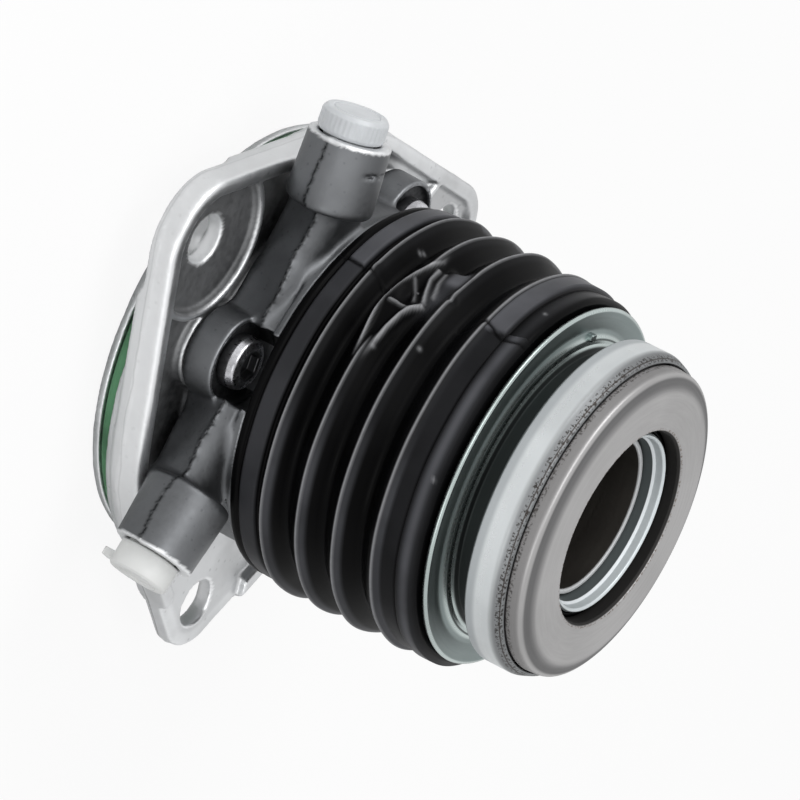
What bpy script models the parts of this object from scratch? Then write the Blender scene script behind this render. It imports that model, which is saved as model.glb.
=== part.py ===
"""Concentric slave cylinder for a hydraulic clutch release.

An adapter flange with three bolt ears carries a cast cylinder body. A piston slides
between the body's bore and a steel guide sleeve, and pushes a release bearing. A coil
spring keeps the bearing forward and a rubber bellows covers the travel.

The cylinder's axis is Z. The origin is on that axis, on the rear face of the spigot,
so the part stands on its spigot with the bearing up. Sizes are in metres.
"""

import math

import bmesh
import bpy
from mathutils import Matrix, Vector

MM = 0.001
GAP = 0.3 * MM                       # clearance between pieces that seat on each other
FINE = 32                            # facets of the large round pieces
PLAIN = 24                           # facets of the smaller round pieces
FACE = 40                            # facets of the thrust ring, whose face shows most
TUBE = 28                            # facets of the guide sleeve
SMALL = 12                           # facets of holes and little turned pieces

# Adapter flange
SPIGOT_RADIUS = 38.6 * MM
SPIGOT_HEIGHT = 5.0 * MM
FLANGE_TOP = 12.8 * MM
FLANGE_STEP = 1.05 * MM             # how far the plate stands out of the shoulder
FLOOR_DEPTH = 1.5 * MM
LIP_WIDTH = 3.25 * MM
PAD_DROP = 0.3 * MM
BOLT_STEP = 3.55 * MM                # from the plate's radius out to the bolt circle
BOLT_HOLE_RADIUS = 4.4 * MM
BOLT_HOLE_CHAMFER = 0.6 * MM
EAR_ANGLES = (-104.6, 15.4, 135.4)
EAR_RADII = (11.75 * MM, 8.45 * MM, 9.45 * MM)
EAR_THICKNESS = 4.9 * MM
PLATE_REAR = 6.5 * MM
SHOULDER_STEP = 2.8 * MM             # how far the shoulder stands out of the spigot
RELIEF_FLARE = 2.0 * MM
POCKET_RADIUS = 12.4 * MM
RIB_WIDTH = 2.0 * MM
SPOTFACE_DEPTH = 0.25 * MM
RING_GROOVE_BOTTOM = 1.2 * MM
RING_GROOVE_HEIGHT = 3.0 * MM
RING_GROOVE_DEPTH = 2.1 * MM
SPIGOT_WALL = 4.6 * MM
REAR_RECESS_DEPTH = 5.5 * MM
FLANGE_BORE = 14.2 * MM
SEAL_BORE = 19.2 * MM
SEAL_BOSS_WALL = 3.8 * MM
SEAL_BOSS_REAR = 1.5 * MM
SEAL_SEAT = 9.4 * MM

# Cylinder body
BODY_BORE = 20.0 * MM
BARREL_WALL = 4.6 * MM
SPRING_ROOM = 5.0 * MM               # between the barrel and the bellows seat
BODY_RIM_WIDTH = 1.3 * MM
BODY_RIM_HEIGHT = 1.1 * MM
BARREL_TOP = 46.0 * MM
CHAMBER_FLOOR = 18.6 * MM
SPRING_SEAT = 24.0 * MM
CORE_INSET = 0.9 * MM                # of the outer forms' root inside the bellows seat
BELLOWS_SEAT_HEIGHT = 5.9 * MM
BELLOWS_SEAT_WALL = 1.7 * MM
BEAD_DEPTH = 0.7 * MM
PART_LINE = 20.6 * MM
BAR_END_INSET = 4.3 * MM
BAR_STAND = 1.5 * MM                 # how far the bar stands out of the body
BAR_ROOT = 2.0 * MM                  # how far the bar reaches inside the bore
BAR_TOP = 23.8 * MM
BAR_DRAFT = 2.2 * MM
SCREW_INSET = 1.5 * MM               # of the screw circle inside the body's radius
SCREW_ANGLES = (-83.0, 174.0, 45.5)
LOBE_RADIUS = 8.0 * MM
LOBE_TOP = 18.8 * MM
SCREW_POCKET_RADIUS = 6.3 * MM
SCREW_SEAT = 17.2 * MM

# Hydraulic ports: direction in degrees, how far the port axis lies inside the body's
# radius, and how far the end face stands outside it
UPPER_PORT_ANGLE = 197.4
UPPER_PORT_INSET = 9.5 * MM
UPPER_PORT_STAND = 14.4 * MM
LOWER_PORT_ANGLE = -11.1
LOWER_PORT_INSET = 8.7 * MM
LOWER_PORT_STAND = 11.9 * MM
PORT_RADIUS = 7.0 * MM
PORT_FOOT_RADIUS = 7.4 * MM
PORT_LENGTH = 12.4 * MM
PORT_BORE = 4.6 * MM
PORT_DEPTH = 10.4 * MM
PORT_MOUTH_RADIUS = 5.2 * MM
PORT_MOUTH_DEPTH = 1.5 * MM
PASSAGE_RADIUS = 1.6 * MM

# Guide sleeve and its seals
SLEEVE_BORE = 13.5 * MM
SLEEVE_WALL = 0.9 * MM
SLEEVE_INSET = 5.4 * MM              # of the sleeve's end below the thrust face
COLLAR_RADIUS = 19.0 * MM
COLLAR_THICKNESS = 1.0 * MM
SLEEVE_RING_GROOVE = 2.9 * MM
SHAFT_RADIUS = 12.0 * MM
SHAFT_SEAL_WIDTH = 7.0 * MM
GARTER_STAND = 3.9 * MM

# Piston group
TRAVEL = 13.0 * MM
PISTON_SEAL_REAR = 33.0 * MM
PISTON_SEAL_WIDTH = 5.0 * MM
PISTON_GUIDE_STAND = 1.0 * MM        # how far the guided part stands out of the barrel
PISTON_NECK_STEP = 1.3 * MM
PISTON_FLANGE_WIDTH = 4.6 * MM
STROKE_MARGIN = 1.0 * MM             # left between flange and barrel at full travel
PISTON_FLANGE_THICKNESS = 3.0 * MM
PISTON_SNOUT_WALL = 1.8 * MM
COVER_STAND = 1.0 * MM               # of the cover's edge outside the body's radius
COVER_SHEET = 1.0 * MM
COVER_DIP = 0.7 * MM
COVER_COLLAR_ROOM = 0.5 * MM         # between the race's flange and the collar
COVER_COLLAR_HEIGHT = 3.7 * MM
RETAINER_THICKNESS = 0.8 * MM
RETAINER_GROOVE = 0.6 * MM
COVER_TAB_ANGLE = -159.0
COVER_TAB_INSET = 4.3 * MM           # from the cover's edge

# Release bearing
RACE_FLANGE_RADIUS = 23.6 * MM
RACE_FLANGE_THICKNESS = 1.3 * MM
RACE_SHOULDER_RADIUS = 19.6 * MM
RACE_LIP_RADIUS = 16.1 * MM
RACE_INSET = 1.9 * MM                # of the lip below the thrust face
BALL_RADIUS = 3.2 * MM
BALL_COUNT = 12
BALL_CIRCLE = 21.6 * MM
BALL_STAND = 5.5 * MM                # of the balls' centres above the race's flange
CAGE_HALF_WIDTH = 1.0 * MM
THRUST_STAND = 8.7 * MM              # of the thrust face above the balls' centres
THRUST_HOLE_RADIUS = 17.3 * MM
THRUST_WALL = 2.5 * MM               # outside the balls' raceway
THRUST_SHOULDER = 1.7 * MM
THRUST_SKIRT = 0.9 * MM              # of the outer race below the balls' centres
THRUST_PLATE = 3.2 * MM
SHELL_WALL = 1.4 * MM
SHELL_CRIMP = 3.7 * MM               # of the shell's edge below the thrust face
SHELL_DEPTH = 7.3 * MM
SHELL_MOUTH_ROOM = 0.6 * MM          # between the balls and the shell's mouth
BEARING_SEAL_WIDTH = 0.9 * MM

# Preload spring and bellows
SPRING_WIRE = 1.3 * MM
SPRING_TURNS = 5.5
SPRING_POINTS = 12
BELLOWS_WALL = 1.2 * MM
BELLOWS_BASE_WIDTH = 1.3 * MM        # outside the body's rim
BELLOWS_CREST_STAND = 3.3 * MM       # outside the body's radius
BELLOWS_VALLEY_INSET = 0.1 * MM
BELLOWS_FOLDS = 3
BELLOWS_FOOT = 7.1 * MM              # from the base to the first crest
BELLOWS_HEAD = 8.1 * MM              # from the last crest to the end
BELLOWS_BAND = 3.8 * MM              # from the end down to the band's top
BELLOWS_LIP_STAND = 1.8 * MM
BELLOWS_END_THICKNESS = 1.2 * MM
BELLOWS_END_WIDTH = 2.6 * MM

# Transport cap and plug
CAP_RADIUS = 5.7 * MM
CAP_HEIGHT = 4.2 * MM
CAP_STEM = 8.0 * MM
PLUG_RADIUS = 5.3 * MM
PLUG_HEIGHT = 4.6 * MM
PLUG_TAB_LENGTH = 3.0 * MM
PLUG_TAB_THICKNESS = 1.5 * MM

# Body screws
SCREW_HEAD_RADIUS = 4.7 * MM
SCREW_HEAD_HEIGHT = 3.4 * MM
SCREW_SHANK_RADIUS = 2.3 * MM
SCREW_LENGTH = 10.5 * MM
SCREW_DRIVE_RADIUS = 2.2 * MM
SCREW_DRIVE_DEPTH = 1.8 * MM

# Heights and radii that follow from the values above
SHOULDER_RADIUS = SPIGOT_RADIUS + SHOULDER_STEP
FLANGE_RADIUS = SHOULDER_RADIUS + FLANGE_STEP
BOLT_CIRCLE_RADIUS = FLANGE_RADIUS + BOLT_STEP
REAR_RECESS_RADIUS = SPIGOT_RADIUS - SPIGOT_WALL
FLOOR = FLANGE_TOP - FLOOR_DEPTH
PAD_TOP = FLANGE_TOP - PAD_DROP
BODY_REAR = PAD_TOP + GAP
BARREL_RADIUS = BODY_BORE + BARREL_WALL
BODY_RADIUS = BARREL_RADIUS + SPRING_ROOM + BELLOWS_SEAT_WALL
BODY_RIM_RADIUS = BODY_RADIUS + BODY_RIM_WIDTH
BAR_HALF_LENGTH = BODY_RADIUS - BAR_END_INSET
BAR_OUTER_Y = -(BODY_RADIUS + BAR_STAND)
BAR_INNER_Y = -(BODY_BORE - BAR_ROOT)
SCREW_CIRCLE_RADIUS = BODY_RADIUS - SCREW_INSET
SPRING_RADIUS = BARREL_RADIUS + SPRING_ROOM / 2
BELLOWS_BASE_RADIUS = BODY_RIM_RADIUS + BELLOWS_BASE_WIDTH
BELLOWS_CREST_RADIUS = BODY_RADIUS + BELLOWS_CREST_STAND
BELLOWS_VALLEY_RADIUS = BODY_RADIUS - BELLOWS_VALLEY_INSET
BELLOWS_LIP_RADIUS = BODY_RADIUS + BELLOWS_LIP_STAND
COVER_EDGE_RADIUS = BODY_RADIUS + COVER_STAND
COVER_TAB_RADIUS = COVER_EDGE_RADIUS - COVER_TAB_INSET
UPPER_PORT = {"angle": UPPER_PORT_ANGLE, "offset": BODY_RADIUS - UPPER_PORT_INSET,
              "reach": BODY_RADIUS + UPPER_PORT_STAND}
LOWER_PORT = {"angle": LOWER_PORT_ANGLE, "offset": LOWER_PORT_INSET - BODY_RADIUS,
              "reach": BODY_RADIUS + LOWER_PORT_STAND}
RIM_TOP = SPRING_SEAT + 0.6 * MM
BELLOWS_SEAT_TOP = RIM_TOP + BELLOWS_SEAT_HEIGHT
SLEEVE_RADIUS = SLEEVE_BORE + SLEEVE_WALL
COLLAR_BOTTOM = BODY_REAR
COLLAR_TOP = COLLAR_BOTTOM + COLLAR_THICKNESS
PISTON_BORE = SLEEVE_RADIUS + GAP
PISTON_RADIUS = BODY_BORE - GAP
PISTON_NECK_RADIUS = PISTON_RADIUS - PISTON_NECK_STEP
PISTON_FLANGE_RADIUS = PISTON_NECK_RADIUS + PISTON_FLANGE_WIDTH
PISTON_GUIDE_TOP = BARREL_TOP + PISTON_GUIDE_STAND
PISTON_FLANGE_BOTTOM = BARREL_TOP + TRAVEL + STROKE_MARGIN
PISTON_FLANGE_TOP = PISTON_FLANGE_BOTTOM + PISTON_FLANGE_THICKNESS
PISTON_REAR = PISTON_SEAL_REAR + PISTON_SEAL_WIDTH + GAP
COVER_BOTTOM = PISTON_FLANGE_TOP + GAP
COVER_TOP = COVER_BOTTOM + COVER_SHEET
RACE_BOTTOM = COVER_TOP + GAP
RACE_FLANGE_TOP = RACE_BOTTOM + RACE_FLANGE_THICKNESS
RACEWAY = BALL_RADIUS + GAP
BALL_HEIGHT = RACE_FLANGE_TOP + BALL_STAND
THRUST_RADIUS = BALL_CIRCLE + RACEWAY + THRUST_WALL
SHELL_MOUTH_RADIUS = BALL_CIRCLE + BALL_RADIUS + SHELL_MOUTH_ROOM
COVER_COLLAR_RADIUS = RACE_FLANGE_RADIUS + COVER_COLLAR_ROOM + COVER_SHEET
THRUST_FACE = BALL_HEIGHT + THRUST_STAND
THRUST_BOTTOM = BALL_HEIGHT - THRUST_SKIRT
RACE_TOP = THRUST_FACE - RACE_INSET
SLEEVE_TOP = THRUST_FACE - SLEEVE_INSET
SHELL_TOP = THRUST_FACE - SHELL_CRIMP
SHELL_REAR = SHELL_TOP - SHELL_DEPTH
BELLOWS_BASE = RIM_TOP + GAP
BELLOWS_END = COVER_BOTTOM - COVER_DIP - GAP
COLORS = {
    "cast_bright": (0.80, 0.81, 0.82, 0.45, 0.9),
    "cast_dark": (0.30, 0.31, 0.33, 0.5, 0.85),
    "rubber": (0.02, 0.02, 0.022, 0.45, 0.0),
    "zinc": (0.62, 0.66, 0.66, 0.25, 1.0),
    "bearing_steel": (0.60, 0.60, 0.61, 0.35, 1.0),
    "green_rubber": (0.20, 0.45, 0.26, 0.5, 0.0),
    "white_plastic": (0.78, 0.80, 0.82, 0.4, 0.0),
    "clear_plastic": (0.74, 0.76, 0.76, 0.3, 0.0),
    "aluminium": (0.72, 0.73, 0.75, 0.3, 1.0),
    "cage_plastic": (0.72, 0.66, 0.50, 0.5, 0.0),
}


def clear_scene():
    """Remove every object that the file opened with."""
    for item in list(bpy.data.objects):
        bpy.data.objects.remove(item, do_unlink=True)


def new_collection(name):
    """A collection of that name in the scene."""
    group = bpy.data.collections.new(name)
    bpy.context.scene.collection.children.link(group)
    return group


def material(name):
    """The plain material of that name, made on its first use."""
    found = bpy.data.materials.get(name)
    if found:
        return found
    red, green, blue, roughness, metallic = COLORS[name]
    made = bpy.data.materials.new(name)
    made.use_nodes = True
    shader = made.node_tree.nodes["Principled BSDF"]
    shader.inputs["Base Color"].default_value = (red, green, blue, 1.0)
    shader.inputs["Roughness"].default_value = roughness
    shader.inputs["Metallic"].default_value = metallic
    return made


def place(mesh, name, group, finish=None):
    """An object for the mesh, in the collection, with its material."""
    item = bpy.data.objects.new(name, mesh)
    group.objects.link(item)
    if finish:
        mesh.materials.append(material(finish))
    else:
        item.hide_render = True
        item.display_type = "WIRE"
    return item


def polar(radius, degrees, height=0.0):
    """The point at that radius, angle and height."""
    angle = math.radians(degrees)
    return Vector((radius * math.cos(angle), radius * math.sin(angle), height))


def arc(centre_x, centre_y, radius, start, end, steps):
    """Points along a circular arc, angles in degrees, both ends included."""
    points = []
    for i in range(steps + 1):
        angle = math.radians(start + (end - start) * i / steps)
        points.append((centre_x + radius * math.cos(angle), centre_y + radius * math.sin(angle)))
    return points


def turned(name, profile, group, finish=None, steps=PLAIN, closed=True):
    """A turned piece: the profile of (radius, height) points runs down the outer side."""
    mesh = bpy.data.meshes.new(name)
    points = [(radius, 0.0, height) for radius, height in profile]
    edges = [(i, i + 1) for i in range(len(points) - 1)]
    if closed:
        edges.append((len(points) - 1, 0))
    mesh.from_pydata(points, edges, [])
    item = place(mesh, name, group, finish)
    screw = item.modifiers.new("turn", "SCREW")
    screw.steps = steps
    screw.render_steps = steps
    screw.use_merge_vertices = True
    screw.merge_threshold = 0.00001
    screw.use_smooth_shade = True
    return item


def rod(name, start, end, radius, group, finish=None, steps=SMALL, end_radius=None):
    """A straight round bar or cone between two points."""
    axis = Vector(end) - Vector(start)
    builder = bmesh.new()
    bmesh.ops.create_cone(
        builder, cap_ends=True, segments=steps, radius1=radius,
        radius2=radius if end_radius is None else end_radius, depth=axis.length)
    turn = axis.to_track_quat("Z", "Y").to_matrix().to_4x4()
    middle = (Vector(start) + Vector(end)) / 2
    bmesh.ops.transform(builder, matrix=Matrix.Translation(middle) @ turn, verts=builder.verts)
    mesh = bpy.data.meshes.new(name)
    builder.to_mesh(mesh)
    builder.free()
    mesh.shade_smooth()
    mesh.set_sharp_from_angle(angle=math.radians(35))
    return place(mesh, name, group, finish)


def block(name, low, high, group, finish=None, turn=None):
    """A rectangular block between two corners, turned about the origin when asked."""
    builder = bmesh.new()
    bmesh.ops.create_cube(builder, size=1.0)
    low, high = Vector(low), Vector(high)
    size = high - low
    scale = Matrix.Diagonal((size.x, size.y, size.z, 1.0))
    matrix = Matrix.Translation((low + high) / 2) @ scale
    if turn is not None:
        matrix = turn @ matrix
    bmesh.ops.transform(builder, matrix=matrix, verts=builder.verts)
    mesh = bpy.data.meshes.new(name)
    builder.to_mesh(mesh)
    builder.free()
    return place(mesh, name, group, finish)


def plate(name, outline, bottom, top, group, finish=None):
    """A flat plate with that outline of (x, y) points, made from a filled 2D curve."""
    curve = bpy.data.curves.new(name + "_outline", "CURVE")
    curve.dimensions = "2D"
    curve.fill_mode = "BOTH"
    curve.extrude = (top - bottom) / 2
    spline = curve.splines.new("POLY")
    spline.points.add(len(outline) - 1)
    for point, (x, y) in zip(spline.points, outline):
        point.co = (x, y, 0.0, 1.0)
    spline.use_cyclic_u = True
    guide = bpy.data.objects.new(name + "_outline", curve)
    guide.location.z = (bottom + top) / 2
    return curve_to_mesh(guide, name, group, finish)


def curve_to_mesh(guide, name, group, finish):
    """The mesh object that replaces a curve, with its caps welded."""
    bpy.context.scene.collection.objects.link(guide)
    bpy.context.view_layer.update()
    graph = bpy.context.evaluated_depsgraph_get()
    mesh = bpy.data.meshes.new_from_object(guide.evaluated_get(graph))
    mesh.name = name
    mesh.materials.clear()
    mesh.transform(guide.matrix_world)
    builder = bmesh.new()
    builder.from_mesh(mesh)
    bmesh.ops.remove_doubles(builder, verts=builder.verts, dist=0.000001)
    bmesh.ops.recalc_face_normals(builder, faces=builder.faces)
    builder.to_mesh(mesh)
    builder.free()
    curve = guide.data
    bpy.data.objects.remove(guide, do_unlink=True)
    bpy.data.curves.remove(curve)
    return place(mesh, name, group, finish)


def combine(item, other, operation):
    """Add a Boolean modifier that joins the other shape or cuts with it."""
    cut = item.modifiers.new(operation.lower(), "BOOLEAN")
    cut.operation = operation
    cut.object = other
    cut.solver = "EXACT"
    return item


def ear_centre(index):
    """The middle of a bolt ear."""
    return polar(BOLT_CIRCLE_RADIUS, EAR_ANGLES[index])


def flange_outline(inset):
    """Round body and three ears, joined by their common tangents, moved inwards by inset."""
    points = []
    count = len(EAR_ANGLES)
    order = sorted(range(count), key=lambda i: EAR_ANGLES[i])
    round_radius = FLANGE_RADIUS - inset
    for place_in_order, ear in enumerate(order):
        following = order[(place_in_order + 1) % count]
        wrap = 360.0 if place_in_order == count - 1 else 0.0
        angle = EAR_ANGLES[ear]
        swing = tangent_angle(ear)
        centre = ear_centre(ear)
        radius = EAR_RADII[ear] - inset
        points += arc(centre.x, centre.y, radius, angle - swing, angle + swing, 8)
        start = angle + swing
        end = EAR_ANGLES[following] + wrap - tangent_angle(following)
        steps = max(3, round((end - start) / 8.0))
        points += arc(0.0, 0.0, round_radius, start, end, steps)
    return points


def tangent_angle(ear):
    """Half the angle between the two tangents that join an ear to the round body."""
    return math.degrees(math.acos((FLANGE_RADIUS - EAR_RADII[ear]) / BOLT_CIRCLE_RADIUS))


def adapter_flange(parts, cutters):
    """The casting that bolts to the gearbox: ears, lip, ribs, spigot and seal boss."""
    flange = plate("adapter_flange", flange_outline(0.0), PLATE_REAR, FLANGE_TOP, parts,
                   "cast_bright")
    groove_top = RING_GROOVE_BOTTOM + RING_GROOVE_HEIGHT
    groove_radius = SPIGOT_RADIUS - RING_GROOVE_DEPTH
    overlap = 1.5 * MM
    chamfer = 0.4 * MM
    spigot = turned("spigot_form", [
        (0.0, PLATE_REAR + overlap), (SHOULDER_RADIUS, PLATE_REAR + overlap),
        (SHOULDER_RADIUS, SPIGOT_HEIGHT), (SPIGOT_RADIUS, SPIGOT_HEIGHT),
        (SPIGOT_RADIUS, groove_top), (groove_radius, groove_top),
        (groove_radius, RING_GROOVE_BOTTOM), (SPIGOT_RADIUS, RING_GROOVE_BOTTOM),
        (SPIGOT_RADIUS, chamfer), (SPIGOT_RADIUS - chamfer, 0.0), (0.0, 0.0)],
        cutters, steps=FINE, closed=False)
    combine(flange, spigot, "UNION")

    trench = plate("trench_cut", flange_outline(LIP_WIDTH), FLOOR, FLANGE_TOP + overlap, cutters)
    for ear in range(len(EAR_ANGLES)):
        combine(trench, ear_rib(ear, cutters), "DIFFERENCE")
    combine(trench, pad_form(cutters), "DIFFERENCE")
    combine(flange, trench, "DIFFERENCE")
    open_ear = EAR_RADII.index(min(EAR_RADII))
    centre = ear_centre(open_ear)
    spotface = rod("open_ear_cut", centre + Vector((0, 0, FLOOR - SPOTFACE_DEPTH)),
                   centre + Vector((0, 0, FLANGE_TOP + overlap)),
                   POCKET_RADIUS - SPOTFACE_DEPTH, cutters, steps=PLAIN)
    combine(flange, spotface, "DIFFERENCE")

    for ear in range(len(EAR_ANGLES)):
        combine(flange, ear_relief(ear, cutters), "DIFFERENCE")
        combine(flange, bolt_hole(ear, cutters), "DIFFERENCE")
    for index in range(len(SCREW_ANGLES)):
        low = polar(SCREW_CIRCLE_RADIUS, SCREW_ANGLES[index], REAR_RECESS_DEPTH - overlap)
        high = polar(SCREW_CIRCLE_RADIUS, SCREW_ANGLES[index], FLANGE_TOP + overlap)
        hole = rod("thread_hole_%d" % (index + 1), low, high, SCREW_SHANK_RADIUS + GAP,
                   cutters, steps=16)
        combine(flange, hole, "DIFFERENCE")
    combine(flange, stepped_bore(cutters), "DIFFERENCE")
    return flange


def ear_rib(ear, cutters):
    """The round rib that walls off the bolt pocket of an ear."""
    centre = ear_centre(ear)
    top = PAD_TOP
    bottom = FLOOR - 1.0 * MM
    outer = POCKET_RADIUS + RIB_WIDTH
    rib = turned("ear_rib_%d" % (ear + 1), [
        (outer, top), (outer, bottom), (POCKET_RADIUS, bottom), (POCKET_RADIUS, top)],
        cutters, steps=PLAIN)
    rib.location = centre
    return rib


def pad_form(cutters):
    """The raised pad that the cylinder body stands on, with a lobe at each screw."""
    bottom = FLOOR - 1.0 * MM
    pad = rod("pad_form", (0, 0, bottom), (0, 0, PAD_TOP), BODY_RADIUS - 1.0 * MM, cutters,
              steps=FINE)
    for index, angle in enumerate(SCREW_ANGLES):
        low = polar(SCREW_CIRCLE_RADIUS, angle, bottom - 0.5 * MM)
        high = polar(SCREW_CIRCLE_RADIUS, angle, PAD_TOP)
        lobe = rod("pad_lobe_%d" % (index + 1), low, high, LOBE_RADIUS - 0.6 * MM, cutters,
                   steps=SMALL)
        combine(pad, lobe, "UNION")
    return pad


def ear_relief(ear, cutters):
    """The step behind an ear that leaves it thinner than the plate, with a sloping wall."""
    centre = ear_centre(ear)
    bottom = PLATE_REAR - 1.0 * MM
    top = FLANGE_TOP - EAR_THICKNESS
    relief = rod("relief_%d" % (ear + 1), centre + Vector((0, 0, bottom)),
                 centre + Vector((0, 0, top)), POCKET_RADIUS + RELIEF_FLARE, cutters,
                 steps=PLAIN, end_radius=POCKET_RADIUS)
    core = rod("relief_core_%d" % (ear + 1), (0, 0, bottom - 1.0 * MM), (0, 0, top + 1.0 * MM),
               SHOULDER_RADIUS + 0.01 * MM, cutters, steps=FINE)
    combine(relief, core, "DIFFERENCE")
    return relief


def bolt_hole(ear, cutters):
    """A bolt hole with a chamfer at the ear's floor."""
    rise = 0.7 * MM
    top = FLANGE_TOP + 1.0 * MM
    mouth = BOLT_HOLE_RADIUS + BOLT_HOLE_CHAMFER + rise
    hole = turned("bolt_hole_%d" % (ear + 1), [
        (0.0, top), (mouth, top), (mouth, FLOOR + rise),
        (BOLT_HOLE_RADIUS, FLOOR - BOLT_HOLE_CHAMFER), (BOLT_HOLE_RADIUS, 0.0), (0.0, 0.0)],
        cutters, steps=SMALL, closed=False)
    hole.location = ear_centre(ear)
    return hole


def stepped_bore(cutters):
    """Everything hollow about the axis: shaft opening, seal seat and rear recess."""
    boss = SEAL_BORE + SEAL_BOSS_WALL
    above = FLANGE_TOP + 1.0 * MM
    below = -1.0 * MM
    return turned("stepped_bore", [
        (0.0, above), (FLANGE_BORE, above), (FLANGE_BORE, SEAL_SEAT), (SEAL_BORE, SEAL_SEAT),
        (SEAL_BORE, SEAL_BOSS_REAR), (boss, SEAL_BOSS_REAR), (boss, REAR_RECESS_DEPTH),
        (REAR_RECESS_RADIUS, REAR_RECESS_DEPTH), (REAR_RECESS_RADIUS, below), (0.0, below)],
        cutters, steps=FINE, closed=False)


def ring(name, radius, tube, height, parts, finish, steps=FINE, sides=8):
    """A round-section ring about the cylinder's axis."""
    profile = arc(radius, height, tube, 90.0, 90.0 - 360.0, sides)[:-1]
    return turned(name, profile, parts, finish, steps=steps)


def flange_o_ring(parts):
    """The green sealing ring in the spigot's groove."""
    tube = RING_GROOVE_HEIGHT / 2 - GAP
    radius = SPIGOT_RADIUS - RING_GROOVE_DEPTH + GAP + tube
    height = RING_GROOVE_BOTTOM + RING_GROOVE_HEIGHT / 2
    return ring("flange_o_ring", radius, tube, height, parts, "green_rubber")


def shaft_seal(parts):
    """The seal on the gearbox shaft: a cased ring with a lip that reaches the shaft."""
    top = SEAL_SEAT - GAP
    bottom = top - SHAFT_SEAL_WIDTH
    outer = SEAL_BORE - GAP
    lip = SHAFT_RADIUS + GAP
    web = 1.4 * MM
    neck = lip + 1.6 * MM
    return turned("shaft_seal", [
        (outer, top), (outer, bottom), (outer - web, bottom), (outer - web, top - web),
        (neck + 1.2 * MM, top - web), (neck + 1.4 * MM, bottom + 2.4 * MM),
        (neck, bottom + 1.6 * MM), (lip, bottom + 2.6 * MM), (lip + 0.9 * MM, top - web),
        (lip + 0.9 * MM, top)], parts, "rubber")


def garter_spring(parts):
    """The small closed coil spring, drawn as its ring, that presses the seal lip."""
    bottom = SEAL_SEAT - GAP - SHAFT_SEAL_WIDTH
    radius = SHAFT_RADIUS + GARTER_STAND
    return ring("seal_garter_spring", radius, 0.6 * MM, bottom + 1.0 * MM, parts,
                "bearing_steel", steps=PLAIN, sides=8)


def port_frame(port):
    """The matrix whose Z axis is the port's axis, with its origin at the end face."""
    direction = polar(1.0, port["angle"])
    across = polar(1.0, port["angle"] + 90.0)
    end = direction * port["reach"] + across * port["offset"]
    end.z = PART_LINE
    matrix = Matrix((across, Vector((0, 0, 1)), direction)).transposed().to_4x4()
    return Matrix.Translation(end) @ matrix


def in_port(port, x, y, z):
    """A point given across, above and along the port, seen from its end face."""
    return port_frame(port) @ Vector((x, y, z))


def cylinder_body(parts, cutters):
    """The hydraulic cylinder casting with its barrel, port bosses and screw lobes."""
    barrel = BARREL_RADIUS
    groove_low = RIM_TOP + BELLOWS_SEAT_HEIGHT * 0.55
    groove_high = groove_low + 1.5 * MM
    seat_inner = BODY_RADIUS - BELLOWS_SEAT_WALL
    counterbore = COLLAR_RADIUS + GAP
    collar_roof = COLLAR_TOP + GAP
    ring_wall = SLEEVE_RADIUS + SLEEVE_RING_GROOVE
    ring_roof = collar_roof + 2.6 * MM
    sleeve_hole = SLEEVE_RADIUS + GAP
    bore_chamfer = 0.8 * MM
    body = turned("cylinder_body", [
        (barrel, BARREL_TOP), (barrel, SPRING_SEAT), (seat_inner, SPRING_SEAT),
        (seat_inner, BELLOWS_SEAT_TOP), (BODY_RADIUS, BELLOWS_SEAT_TOP),
        (BODY_RADIUS, groove_high), (BODY_RADIUS - BEAD_DEPTH, groove_high),
        (BODY_RADIUS - BEAD_DEPTH, groove_low), (BODY_RADIUS, groove_low),
        (BODY_RADIUS, RIM_TOP), (BODY_RIM_RADIUS, RIM_TOP),
        (BODY_RIM_RADIUS, RIM_TOP - BODY_RIM_HEIGHT), (BODY_RADIUS, RIM_TOP - BODY_RIM_HEIGHT),
        (BODY_RADIUS, BODY_REAR), (counterbore, BODY_REAR), (counterbore, collar_roof),
        (ring_wall, collar_roof), (ring_wall, ring_roof), (sleeve_hole, ring_roof),
        (sleeve_hole, CHAMBER_FLOOR), (BODY_BORE, CHAMBER_FLOOR),
        (BODY_BORE, BARREL_TOP - bore_chamfer), (BODY_BORE + bore_chamfer, BARREL_TOP)],
        parts, "cast_dark", steps=FINE)
    core = inner_core(cutters)
    for form in [cross_bar(cutters)] + port_bosses(cutters) + screw_lobes(cutters):
        combine(form, core, "DIFFERENCE")
        combine(body, form, "UNION")
    for index, angle in enumerate(SCREW_ANGLES):
        combine(body, screw_pocket(index, angle, cutters), "DIFFERENCE")
    for name, port in (("upper", UPPER_PORT), ("lower", LOWER_PORT)):
        combine(body, port_bore(name, port, cutters), "DIFFERENCE")
        combine(body, port_passage(name, port, cutters), "DIFFERENCE")
    return body


def inner_core(cutters):
    """A plug that keeps the outer forms clear of everything inside the turned body."""
    radius = BARREL_RADIUS + SPRING_ROOM - CORE_INSET
    return rod("inner_core", (0, 0, BODY_REAR - 2.0 * MM), (0, 0, BARREL_TOP), radius, cutters,
               steps=FINE)


def cross_bar(cutters):
    """The bar between the two port bosses, narrower at its foot than at its parting line."""
    bar = block("bar_form", (-BAR_HALF_LENGTH, BAR_OUTER_Y, BODY_REAR),
                (BAR_HALF_LENGTH, BAR_INNER_Y, BAR_TOP), cutters)
    top_edge = 0.01 * MM
    for vertex in bar.data.vertices:
        if vertex.co.z < BODY_REAR + top_edge and vertex.co.y < BAR_INNER_Y - top_edge:
            vertex.co.y += BAR_DRAFT
    chamfer = bar.modifiers.new("edges", "BEVEL")
    chamfer.width = 1.8 * MM
    chamfer.segments = 2
    chamfer.limit_method = "ANGLE"
    return bar


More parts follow.
